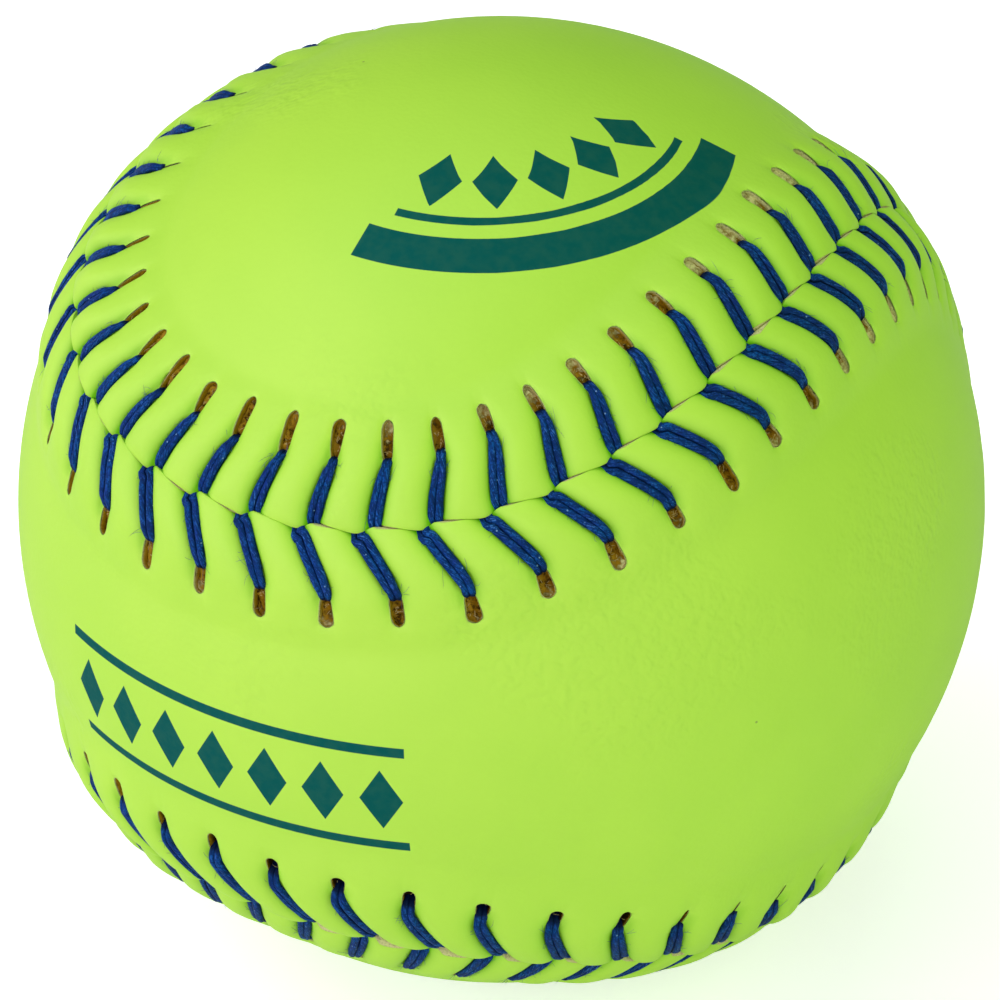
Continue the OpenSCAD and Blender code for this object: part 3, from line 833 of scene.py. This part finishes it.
def build_fuzz(name, seam, threads):
    """Short hairs that stand off the edges of the thread."""
    chance, shell, t = np.random.default_rng(21), Shell(), np.linspace(0, 1, 6)
    for side, hole, _, _, rise in seam.holes():
        for _ in range(HAIRS):
            start = chance.uniform(0.9, 6.3) * MM
            edge = chance.choice([-1, 1])
            reach, drift = chance.uniform(0.2, 1.1) * MM, chance.uniform(-1.1, 1.1) * MM
            x = edge * (threads.spread * 0.8 + reach * (t + chance.uniform(-0.9, 0.3) * t * t))
            d = start + drift * t + chance.uniform(-1.2, 1.2) * MM * t * t
            lift = t * (chance.uniform(-0.1, 0.4) + 0.1) * MM
            height = seam.groove_height(d, rise) + threads.strand * 0.5 + lift
            u = seam.leaning(side, hole, start) + x / seam.pitch
            tube_along(shell, seam.place(side, u, d, height), HAIR_RADIUS, sides=3)
    return shell.mesh_object(name)


class Nodes:
    """Builds the nodes of a tree, row after row. An input given as a socket is linked, any other is set."""

    def __init__(self, tree):
        self.tree, self.made = tree, 0

    def link(self, value, socket):
        self.tree.links.new(value, socket)

    def add(self, kind, inputs=None, **settings):
        node = self.tree.nodes.new(kind)
        node.location = (self.made % 8 * 200 - 1900, 900 - self.made // 8 * 350)
        self.made += 1
        for key, value in settings.items():
            setattr(node, key, value)
        for key, value in (inputs or {}).items():
            if isinstance(value, bpy.types.NodeSocket):
                self.link(value, node.inputs[key])
            else:
                node.inputs[key].default_value = value
        return node

    def maths(self, operation, a, b=0.0, c=0.0, clamp=False):
        return self.add("ShaderNodeMath", {0: a, 1: b, 2: c}, operation=operation, use_clamp=clamp).outputs[0]

    def mix(self, factor, a, b):
        return self.add("ShaderNodeMix", {0: factor, 6: a, 7: b}, data_type="RGBA").outputs[2]

    def ramp(self, value, low, high):
        """0 below low, 1 above high, and smooth between them."""
        node = self.add("ShaderNodeMapRange", {0: value, 1: low, 2: high}, interpolation_type="SMOOTHSTEP")
        return node.outputs[0]

    def noise(self, place, scale, detail=2.0, **more):
        inputs = {"Vector": place, "Scale": scale, "Detail": detail, **more}
        return self.add("ShaderNodeTexNoise", inputs).outputs[0]

    def cells(self, place, scale):
        return self.add("ShaderNodeTexVoronoi", {"Vector": place, "Scale": scale}).outputs

    def apart(self, value, kind="XYZ"):
        return self.add("ShaderNodeSeparate" + kind, {0: value}).outputs

    def attribute(self, name):
        return self.add("ShaderNodeAttribute", attribute_name=name).outputs["Fac"]

    def object_place(self):
        return self.add("ShaderNodeTexCoord").outputs["Object"]

    def effect(self, name, inputs):
        """Outputs of the shared node group of that name, which is built the first time it is asked for."""
        group = bpy.data.node_groups.get(name) or make_group(name, *EFFECTS[name])
        return self.add("ShaderNodeGroup", inputs, node_tree=group).outputs

    def drift(self, place, scale):
        return self.effect("tone_drift", {"Vector": place, "Scale": scale})["Tone"]

    def grain(self, place, scale, roughness):
        return self.effect("fine_grain", {"Vector": place, "Scale": scale, "Roughness": roughness})["Height"]

    def specks(self, place, scale, size):
        return self.effect("specks", {"Vector": place, "Scale": scale, "Size": size})["Mask"]

    def relief(self, shader, strength, distance, height):
        node = self.add("ShaderNodeBump", {"Strength": strength, "Distance": distance, "Height": height})
        self.link(node.outputs[0], shader["Normal"])


def make_group(name, build, outputs, inputs):
    """A shader node group: an input of no value is a vector, and all else goes in and out as a float."""
    tree = bpy.data.node_groups.new(name, "ShaderNodeTree")
    for label, default in inputs.items():
        kind = "NodeSocketVector" if default is None else "NodeSocketFloat"
        socket = tree.interface.new_socket(label, in_out="INPUT", socket_type=kind)
        if default is not None:
            socket.default_value = default
    for label in outputs:
        tree.interface.new_socket(label, in_out="OUTPUT", socket_type="NodeSocketFloat")
    n = Nodes(tree)
    given, end = n.add("NodeGroupInput"), n.add("NodeGroupOutput")
    for label, value in zip(outputs, build(n, given.outputs)):
        n.link(value, end.inputs[label])
    return tree


def tone_drift(n, given):
    """Slow, soft change of tone over a surface, from 0 to 1."""
    return [n.ramp(n.noise(given["Vector"], given["Scale"], 3.0), 0.3, 0.7)]


def fine_grain(n, given):
    """Height of a fine, rounded grain with finer roughness on it."""
    finer = n.maths("MULTIPLY", n.noise(given["Vector"], given["Scale"]), given["Roughness"])
    return [n.maths("ADD", n.cells(given["Vector"], given["Scale"])["Distance"], finer)]


def sparse_specks(n, given):
    """Sparse small round specks, as a mask."""
    cells = n.cells(given["Vector"], given["Scale"])
    few = n.ramp(n.apart(cells["Color"], "Color")[0], 0.7, 0.72)
    spot = n.ramp(cells["Distance"], given["Size"], n.maths("MULTIPLY", given["Size"], 0.7))
    return [n.maths("MULTIPLY", spot, few)]


def fibre_streaks(n, given):
    """Fine fibres that run along a strand and wind round it: their tone and their height."""
    along, around, _ = n.apart(given["Vector"])
    turn = n.maths("MULTIPLY", n.maths("MULTIPLY_ADD", along, given["Twist"], around), 2 * math.pi)
    far = n.maths("MULTIPLY_ADD", along, 0.24, n.maths("MULTIPLY", around, 0.013))
    round_it = {0: far, 1: n.maths("COSINE", turn), 2: n.maths("SINE", turn)}
    place = n.add("ShaderNodeCombineXYZ", round_it).outputs[0]
    fine, broad = n.noise(place, given["Fineness"], 4.0, Roughness=0.6), n.noise(place, 2.2)
    return [n.maths("MULTIPLY", n.ramp(fine, 0.5, 0.7), n.ramp(broad, 0.35, 0.65)), fine]


def inside_of(n, half, value):
    """How far a value is inside of plus and minus half."""
    return n.maths("SUBTRACT", half, n.maths("ABSOLUTE", value))


# Over how many metres the edge of the print fades
INK_EDGE = 0.00003


def printed_bar(n, given):
    """A printed bar with square ends: 1 inside its half length and half width, 0 outside."""
    reach = inside_of(n, given["Half Length"], given["Along"])
    inner = n.maths("MINIMUM", reach, inside_of(n, given["Half Width"], given["Across"]))
    return [n.ramp(inner, -INK_EDGE, INK_EDGE)]


def printed_lozenges(n, given):
    """A printed row of lozenges: a pitch apart along it, and as many as fit in its half length."""
    half = n.maths("MULTIPLY", given["Pitch"], 0.5)
    wrapped = n.maths("WRAP", given["Along"], half, n.maths("MULTIPLY", half, -1.0))
    wide = n.maths("DIVIDE", n.maths("ABSOLUTE", wrapped), given["Half Width"])
    high = n.maths("DIVIDE", n.maths("ABSOLUTE", given["Across"]), given["Half Height"])
    inner = n.maths("SUBTRACT", 1.0, n.maths("ADD", wide, high))
    reach = inside_of(n, given["Half Length"], given["Along"])
    return [n.maths("MULTIPLY", n.ramp(inner, -0.008, 0.008), n.ramp(reach, -INK_EDGE, INK_EDGE))]


EFFECTS = {
    "tone_drift": (tone_drift, ["Tone"], {"Vector": None, "Scale": 60.0}),
    "fine_grain": (fine_grain, ["Height"], {"Vector": None, "Scale": 2500.0, "Roughness": 0.4}),
    "specks": (sparse_specks, ["Mask"], {"Vector": None, "Scale": 160.0, "Size": 0.03}),
    "fibre_streaks": (fibre_streaks, ["Tone", "Height"], {"Vector": None, "Twist": 0.35, "Fineness": 9.0}),
    "printed_bar": (printed_bar, ["Mask"], {"Along": 0.0, "Across": 0.0, "Half Length": 0.02,
                                            "Half Width": 0.001}),
    "printed_lozenges": (printed_lozenges, ["Mask"], {"Along": 0.0, "Across": 0.0, "Half Length": 0.02,
                                                      "Half Width": 0.002, "Half Height": 0.003,
                                                      "Pitch": 0.006}),
}
# How far the print on the upper lobe is turned from the front, and the radius its length is counted at
PRINT_TURN, PRINT_RADIUS = math.radians(62), 0.021


def printed_mask(n, place, radius):
    """Where the ink lies: bars and lozenges on the upper lobe, and a framed row of them on the front."""
    x, y, z = n.apart(place)
    level = n.maths("DIVIDE", z, radius)
    out = n.maths("MULTIPLY", n.maths("ARCCOSINE", level), radius)
    sine, cosine = math.sin(PRINT_TURN), math.cos(PRINT_TURN)
    turned_x = n.maths("MULTIPLY_ADD", x, cosine, n.maths("MULTIPLY", y, sine))
    turned_y = n.maths("MULTIPLY_ADD", y, cosine, n.maths("MULTIPLY", x, -sine))
    turn = n.maths("ARCTAN2", turned_x, n.maths("MULTIPLY", turned_y, -1.0))
    around = n.maths("MULTIPLY", turn, PRINT_RADIUS)
    sideways = n.maths("ARCTAN2", x, n.maths("MULTIPLY", y, -1.0))
    along = n.maths("MULTIPLY_ADD", sideways, radius, -0.002)
    up = n.maths("MULTIPLY_ADD", n.maths("ARCSINE", level), radius, 0.004)
    # Each row: its effect, what it runs along and lies across, its place there, and its sizes
    rows = (("printed_bar", around, out, 0.0235, (0.021, 0.0019)),
            ("printed_bar", around, out, 0.0196, (0.019, 0.00045)),
            ("printed_lozenges", around, out, 0.0148, (0.0195, 0.0032, 0.0034, 0.0078)),
            ("printed_bar", along, up, 0.0058, (0.0205, 0.00055)),
            ("printed_bar", along, up, -0.0058, (0.0205, 0.00055)),
            ("printed_lozenges", along, up, 0.0, (0.0205, 0.0022, 0.0036, 0.006)))
    total = None
    for name, run, across, middle, sizes in rows:
        inputs = dict(zip(("Half Length", "Half Width", "Half Height", "Pitch"), sizes))
        inputs.update(Along=run, Across=n.maths("SUBTRACT", across, middle))
        mask = n.effect(name, inputs)["Mask"]
        total = mask if total is None else n.maths("MAXIMUM", total, mask)
    return total


def new_material(name, **plain):
    """A material, the builder of its nodes, and the sockets of its Principled shader, some set here."""
    material = bpy.data.materials.new(name)
    material.use_nodes = True
    shader = material.node_tree.nodes["Principled BSDF"].inputs
    for key, value in plain.items():
        shader[key.replace("_", " ")].default_value = value
    return material, Nodes(material.node_tree), shader


def dimmed(tint, *shares):
    """A colour times one share, or times a share each for its red, green and blue."""
    return [c * k for c, k in zip(tint, shares * 3 if len(shares) == 1 else shares)] + [1]


# In the materials a scale is in cells or waves to the metre, and the distance of a relief in metres.
# How much of the clear finish lies on the leather where nothing is printed
GLOSS = 0.5
# Specks on the leather and flecks on the thread
DARK_SPECK, PALE_FLECK = (0.10, 0.20, 0.03, 1), (0.24, 0.46, 0.62, 1)
# Painted shade deep in a hole: the cement's colour dimmed to this share of its colour in the light
PAINTED_HOLE_SHADE = 0.12


def leather_material(colours, radius):
    """Smooth optic leather with a fine grain, a dark print and pale cut edges, with painted shade beside the
    thread, in the joint and deep in the holes.
    """
    material, n, shader = new_material("optic_leather", Roughness=0.6, IOR=1.45, Specular_IOR_Level=0.03,
                                       Coat_Roughness=0.6, Coat_IOR=2.0)
    place = n.object_place()
    tone, crease = n.drift(place, 45.0), n.attribute("crease")
    base = n.mix(tone, dimmed(colours.leather, 0.93, 0.965, 0.86), colours.leather)
    base = n.mix(n.maths("MULTIPLY", n.specks(place, 150.0, 0.025), 0.7), base, DARK_SPECK)
    # Painted shade beside the thread and at the dives: the leather turned a deep green
    deep = dimmed(colours.leather, 0.19, 0.58, 0.0)
    base = n.mix(n.maths("MULTIPLY", crease, 0.85, clamp=True), base, deep)
    wear = n.maths("MULTIPLY_ADD", n.drift(place, 900.0), 0.015, 0.985)
    covered = n.maths("MULTIPLY", printed_mask(n, place, radius), wear)
    base = n.mix(covered, base, colours.ink)
    nap = n.grain(place, 5000.0, 1.0)
    raw = n.mix(n.ramp(nap, 0.3, 1.1), dimmed(colours.raw_leather, 0.55), colours.raw_leather)
    # On the cut sides: the cement stain on the walls of the holes and painted shade down in the joint, and past 1
    # the dark of painted shade at the bottom of the holes
    raw = n.mix(n.ramp(crease, 0.2, 0.9), raw, colours.stain)
    raw = n.mix(n.ramp(crease, 1.0, 1.7), raw, dimmed(colours.glue, PAINTED_HOLE_SHADE))
    is_cut = n.ramp(n.attribute("cut"), 0.25, 0.75)
    n.link(n.mix(is_cut, base, raw), shader["Base Color"])
    bare = n.maths("MAXIMUM", n.maths("MAXIMUM", covered, is_cut), crease)
    n.link(n.maths("MULTIPLY_ADD", bare, -GLOSS, GLOSS, clamp=True), shader["Coat Weight"])
    rough = n.maths("MULTIPLY_ADD", is_cut, 0.3, 0.6)
    n.link(n.maths("MULTIPLY_ADD", tone, 0.04, rough), shader["Roughness"])
    patches = n.maths("MULTIPLY", n.ramp(n.drift(place, 38.0), 0.62, 1.0), 14.0)
    ripple = n.maths("MULTIPLY", n.noise(place, 900.0, 1.0), patches)
    grain = n.maths("ADD", n.grain(place, 1700.0, 0.5), ripple)
    n.relief(shader, 0.95, 0.000022, n.maths("MULTIPLY_ADD", nap, n.maths("MULTIPLY", is_cut, 4.0), grain))
    return material


def thread_material(name, colours, tint):
    """Waxed blue thread: plied fibres that run along each strand, worn pale here and there, with painted shade
    between the strands and where the leather hides it.
    """
    material, n, shader = new_material(name, Roughness=0.55, IOR=1.45, Specular_IOR_Level=0.07)
    place = n.object_place()
    lie = n.add("ShaderNodeUVMap", uv_map="strand").outputs[0]
    fibres = n.effect("fibre_streaks", {"Vector": lie, "Twist": 0.12, "Fineness": 4.0})

    def shade(*shares):
        return dimmed(colours.thread, *(k * tint for k in shares))

    base = n.mix(n.drift(place, 650.0), shade(2.6, 0.62, 0.8), shade(0.6, 1.4, 1.05))
    base = n.mix(n.ramp(fibres["Height"], 0.54, 0.38), base, shade(0.3, 0.24, 0.2))
    worn = n.maths("MULTIPLY_ADD", n.drift(place, 260.0), 0.7, 0.3)
    base = n.mix(n.maths("MULTIPLY", fibres["Tone"], worn), base, colours.thread_light)
    base = n.mix(n.ramp(n.noise(place, 4200.0), 0.56, 0.38), base, shade(0.5, 0.45, 0.4))
    # Painted shade between the strands, on their outer edges and where the leather hides the thread
    between = n.maths("MULTIPLY", n.ramp(n.attribute("crease"), 0.25, 0.8), 0.9)
    base = n.mix(between, base, shade(0.2, 0.12, 0.1))
    base = n.mix(n.maths("MULTIPLY", n.specks(place, 1300.0, 0.13), 0.6), base, PALE_FLECK)
    n.link(base, shader["Base Color"])
    n.relief(shader, 0.7, 0.00007, fibres["Height"])
    return material


def glue_material(colours):
    """What fills the holes: brown cement where much of it came up, pale matted fibres where little did, and
    painted shade, the cement dimmed near to black, towards the near end and in holes drawn tight.
    """
    material, n, shader = new_material("hole_cement", Roughness=0.6, Specular_IOR_Level=0.03)
    # The stain value holds the cement stain and painted shade together
    place, stain = n.object_place(), n.attribute("crease")
    rough, streaks = n.noise(place, 1800.0, 4.0, Roughness=0.65), n.noise(place, 2200.0, 3.0, Distortion=0.6)
    brown = n.mix(n.ramp(rough, 0.36, 0.58), dimmed(colours.glue, 0.2), colours.glue)
    thin = n.maths("MULTIPLY", n.attribute("cut"), n.ramp(rough, 0.36, 0.56))
    brown = n.mix(thin, brown, colours.thin_glue)
    shaded = dimmed(colours.raw_leather, 0.42, 0.34, 0.2)
    matted = n.mix(n.ramp(streaks, 0.3, 0.64), shaded, colours.raw_leather)
    patchy = n.maths("ADD", stain, n.maths("MULTIPLY_ADD", rough, 1.2, -0.6))
    base = n.mix(n.ramp(patchy, 0.25, 0.6), matted, brown)
    base = n.mix(n.maths("MULTIPLY", n.ramp(streaks, 0.6, 0.7), 0.7), base, colours.fibre)
    # Painted shade: where the value passes 1.25 the fill turns to the cement's colour in deep shade
    base = n.mix(n.ramp(stain, 1.25, 1.9), base, dimmed(colours.glue, PAINTED_HOLE_SHADE))
    n.link(base, shader["Base Color"])
    n.relief(shader, 0.8, 0.0001, rough)
    return material


def fibre_material(name, tint):
    """Matt cotton fibre."""
    material, n, shader = new_material(name, Roughness=0.8)
    n.link(n.mix(n.drift(n.object_place(), 900.0), dimmed(tint, 0.55), tint), shader["Base Color"])
    return material


def cement_material(colours):
    """Brushed-on rubber cement, thicker in some places than in others."""
    material, n, shader = new_material("rubber_cement", Roughness=0.4)
    place = n.object_place()
    n.link(n.mix(n.drift(place, 120.0), dimmed(colours.cement, 0.6), colours.cement), shader["Base Color"])
    n.relief(shader, 0.6, 0.0002, n.grain(place, 700.0, 1.5))
    return material


def yarn_material(colours):
    """Yarn wound in all directions: three lays of fine turns that cross each other."""
    material, n, shader = new_material("wound_yarn", Roughness=0.85)
    place, height = n.object_place(), None
    for turn in ((0.3, 0.2, 0.0), (1.4, 0.9, 0.5), (2.3, 0.2, 1.3)):
        lay = n.add("ShaderNodeMapping", {0: place, "Rotation": turn}).outputs[0]
        waves = {"Vector": lay, "Scale": 320.0, "Distortion": 1.2, "Detail": 1.0}
        turns = n.add("ShaderNodeTexWave", waves).outputs["Fac"]
        shown = n.ramp(n.noise(lay, 45.0), 0.46, 0.52)
        height = turns if height is None else n.add("ShaderNodeMix", {0: shown, 2: height, 3: turns}).outputs[0]
    n.link(n.mix(height, dimmed(colours.yarn, 0.45), colours.yarn), shader["Base Color"])
    n.relief(shader, 0.9, 0.0004, height)
    return material


def core_material(colours):
    """Cork crumbs bound in rubber."""
    material, n, shader = new_material("cork_and_rubber", Roughness=0.75)
    crumbs = n.cells(n.object_place(), 420.0)
    picked = n.ramp(n.apart(crumbs["Color"], "Color")[0], 0.35, 0.8)
    n.link(n.mix(picked, colours.core, colours.cork), shader["Base Color"])
    n.relief(shader, 0.7, 0.0003, crumbs["Distance"])
    return material


def ball_of(scene):
    """The seam, the sizes of the thread and the colours, as the panel in the sidebar has them."""
    return Seam(scene.softball_seam), scene.softball_thread, scene.softball_colours


class SOFTBALL_OT_cover(bpy.types.Operator):
    """Model the two leather panels of the cover"""
    bl_idname = "softball.cover"
    bl_label = "Leather cover"

    def execute(self, context):
        seam, _, colours = ball_of(context.scene)
        leather = leather_material(colours, seam.radius)
        for name, side in (("back", BACK), ("front", FRONT)):
            panel = build_panel(name + "_leather_panel", seam, side)
            finish_piece(panel, leather, "leather", name + "_cover_panel")
        return {"FINISHED"}


class SOFTBALL_OT_thread(bpy.types.Operator):
    """Model the doubled thread of both needles and its short hairs"""
    bl_idname = "softball.thread"
    bl_label = "Needle threads"

    def execute(self, context):
        seam, threads, colours = ball_of(context.scene)
        for needle, (name, tint) in enumerate((("first_needle", 1.0), ("second_needle", 0.93))):
            piece = build_thread(name + "_strands", seam, threads, needle)
            finish_piece(piece, thread_material(name + "_thread", colours, tint), "thread", name + "_thread")
        hairs = build_fuzz("thread_hairs", seam, threads)
        finish_piece(hairs, fibre_material("thread_hair", colours.thread), "thread")
        return {"FINISHED"}


class SOFTBALL_OT_holes(bpy.types.Operator):
    """Fill the stitch holes with cement and loose fibres"""
    bl_idname = "softball.holes"
    bl_label = "Fill of the holes"

    def execute(self, context):
        seam, _, colours = ball_of(context.scene)
        finish_piece(build_glue("cement_in_holes", seam), glue_material(colours), "cement")
        finish_piece(build_fibres("fibres_in_holes", seam), fibre_material("loose_fibre", colours.fibre), "yarn")
        return {"FINISHED"}


class SOFTBALL_OT_inside(bpy.types.Operator):
    """Give the centre, the winding and the cement coat their finishes"""
    bl_idname = "softball.inside"
    bl_label = "Finishes inside"

    def execute(self, context):
        for node, make in (("core", core_material), ("yarn_winding", yarn_material),
                           ("cement_coat", cement_material)):
            material = make(context.scene.softball_colours)
            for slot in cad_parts[node].material_slots:
                slot.material = material
        return {"FINISHED"}


# Name, place to the right of, above and in front of the ball as the camera sees it, width, watts, tint
LAMPS = (("side_lamp", (-1.4, 0.0, 0.0), 1.0, 8.05, (0.91, 0.87, 1.0)),
         ("side_back_lamp", (-1.25, 0.2, -0.6), 1.0, 2.8, (0.88, 0.865, 1.0)),
         ("key_lamp", (-1.1, 0.0, 0.9), 0.9, 5.4, (0.78, 0.60, 1.0)),
         ("upper_key_lamp", (-0.8, 0.9, 0.7), 0.9, 7.2, (0.82, 0.74, 1.0)),
         ("top_lamp", (0.0, 1.3, 0.5), 0.9, 3.9, (0.74, 1.0, 0.75)),
         ("front_lamp", (0.0, 0.0, 1.4), 0.9, 3.5, (0.74, 0.62, 0.97)),
         ("fill_lamp", (1.0, 0.4, 1.0), 0.9, 5.2, (0.78, 1.0, 0.45)),
         ("low_lamp", (0.4, -0.62, 1.15), 0.7, 2.1, (0.88, 0.86, 0.85)),
         ("low_left_lamp", (-0.8, -0.6, 1.1), 0.7, 4.1, (0.88, 0.76, 1.0)),
         ("low_side_lamp", (1.1, -0.45, 0.8), 0.5, 1.3, (0.9, 1.0, 0.5)))
# How strongly the floor glows, and the world shines, to the camera alone, and the world's light on the ball
FLOOR_GLOW, WORLD_GLOW, WORLD_LIGHT = 0.52, 1.0, 0.2
# How far the floor lies under the ball
FLOOR_GAP = 0.05 * MM


class SOFTBALL_OT_stage(bpy.types.Operator):
    """Set up the camera, the lamps, the floor and the backdrop"""
    bl_idname = "softball.stage"
    bl_label = "Stage"

    def execute(self, context):
        scene, stage = context.scene, context.scene.softball_stage
        a, e = stage.azimuth, stage.elevation
        back = Vector((math.sin(a) * math.cos(e), -math.cos(a) * math.cos(e), math.sin(e)))
        turn = (-back).to_track_quat("-Z", "Y").to_matrix().to_4x4() @ Matrix.Rotation(stage.roll, 4, "Z")
        scene.camera = camera = place_new("camera", bpy.data.cameras.new("camera"))
        camera.matrix_world = Matrix.Translation(back * stage.distance) @ turn
        camera.data.lens, camera.data.sensor_width = stage.lens, 36.0
        camera.data.shift_x, camera.data.shift_y = stage.shift_right, stage.shift_up
        camera.data.clip_start, camera.data.clip_end = 0.01, 20.0
        right, up = turn.col[0].to_3d(), turn.col[1].to_3d()
        for name, where, size, watts, tint in LAMPS:
            lamp = place_new(name, bpy.data.lights.new(name, "AREA"))
            lamp.data.size, lamp.data.energy, lamp.data.color = size, watts, tint
            lamp.location = right * where[0] + up * where[1] + back * where[2]
            lamp.rotation_mode = "QUATERNION"
            lamp.rotation_quaternion = lamp.location.to_track_quat("Z", "Y")
        bpy.ops.object.select_all(action="DESELECT")
        height = -scene.softball_seam.cover_radius - FLOOR_GAP
        bpy.ops.mesh.primitive_plane_add(size=stage.floor, location=(0, 0, height))
        floor = context.object
        floor.name = "floor"
        floor.data.materials.append(self.floor_material())
        self.light_world(scene)
        scene.view_settings.view_transform = "Standard"
        return {"FINISHED"}

    def floor_material(self):
        material, n, shader = new_material("pale_floor", Roughness=0.9, Base_Color=(0.95, 0.95, 0.95, 1),
                                           Specular_IOR_Level=0.0, Emission_Color=(1, 1, 1, 1))
        to_camera = n.add("ShaderNodeLightPath").outputs["Is Camera Ray"]
        n.link(n.maths("MULTIPLY", to_camera, FLOOR_GLOW), shader["Emission Strength"])
        return material

    def light_world(self, scene):
        scene.world = world = scene.world or bpy.data.worlds.new("soft_light")
        world.use_nodes = True
        world.node_tree.nodes.clear()
        n = Nodes(world.node_tree)
        to_camera = n.add("ShaderNodeLightPath").outputs["Is Camera Ray"]
        light, seen = (n.add("ShaderNodeBackground", {"Color": (1, 1, 1, 1), "Strength": strength}).outputs[0]
                       for strength in (WORLD_LIGHT, WORLD_GLOW))
        mixed = n.add("ShaderNodeMixShader", {0: to_camera, 1: light, 2: seen}).outputs[0]
        n.add("ShaderNodeOutputWorld", {"Surface": mixed})


class SOFTBALL_PT_sidebar(bpy.types.Panel):
    bl_idname = "SOFTBALL_PT_sidebar"
    bl_label = "Softball"
    bl_space_type = "VIEW_3D"
    bl_region_type = "UI"
    bl_category = "Softball"

    def draw(self, context):
        for operator in OPERATORS:
            self.layout.operator(operator.bl_idname)
        for name in GROUPS:
            group = getattr(context.scene, name)
            box = self.layout.box()
            for key in group.bl_rna.properties.keys():
                if key not in ("rna_type", "name"):
                    box.prop(group, key)


GROUPS = {"softball_seam": SeamSizes, "softball_thread": ThreadSizes, "softball_colours": BallColours,
          "softball_stage": StageSizes}
OPERATORS = (SOFTBALL_OT_cover, SOFTBALL_OT_thread, SOFTBALL_OT_holes, SOFTBALL_OT_inside, SOFTBALL_OT_stage)
CLASSES = (*GROUPS.values(), *OPERATORS, SOFTBALL_PT_sidebar)


def register():
    for cls in CLASSES:
        bpy.utils.register_class(cls)
    for name, group in GROUPS.items():
        setattr(bpy.types.Scene, name, PointerProperty(type=group))


def unregister():
    for name in GROUPS:
        delattr(bpy.types.Scene, name)
    for cls in reversed(CLASSES):
        bpy.utils.unregister_class(cls)


def main():
    register()
    bpy.ops.softball.inside()
    bpy.ops.softball.cover()
    bpy.ops.softball.thread()
    bpy.ops.softball.holes()
    bpy.ops.softball.stage()


if __name__ == "__main__":
    main()
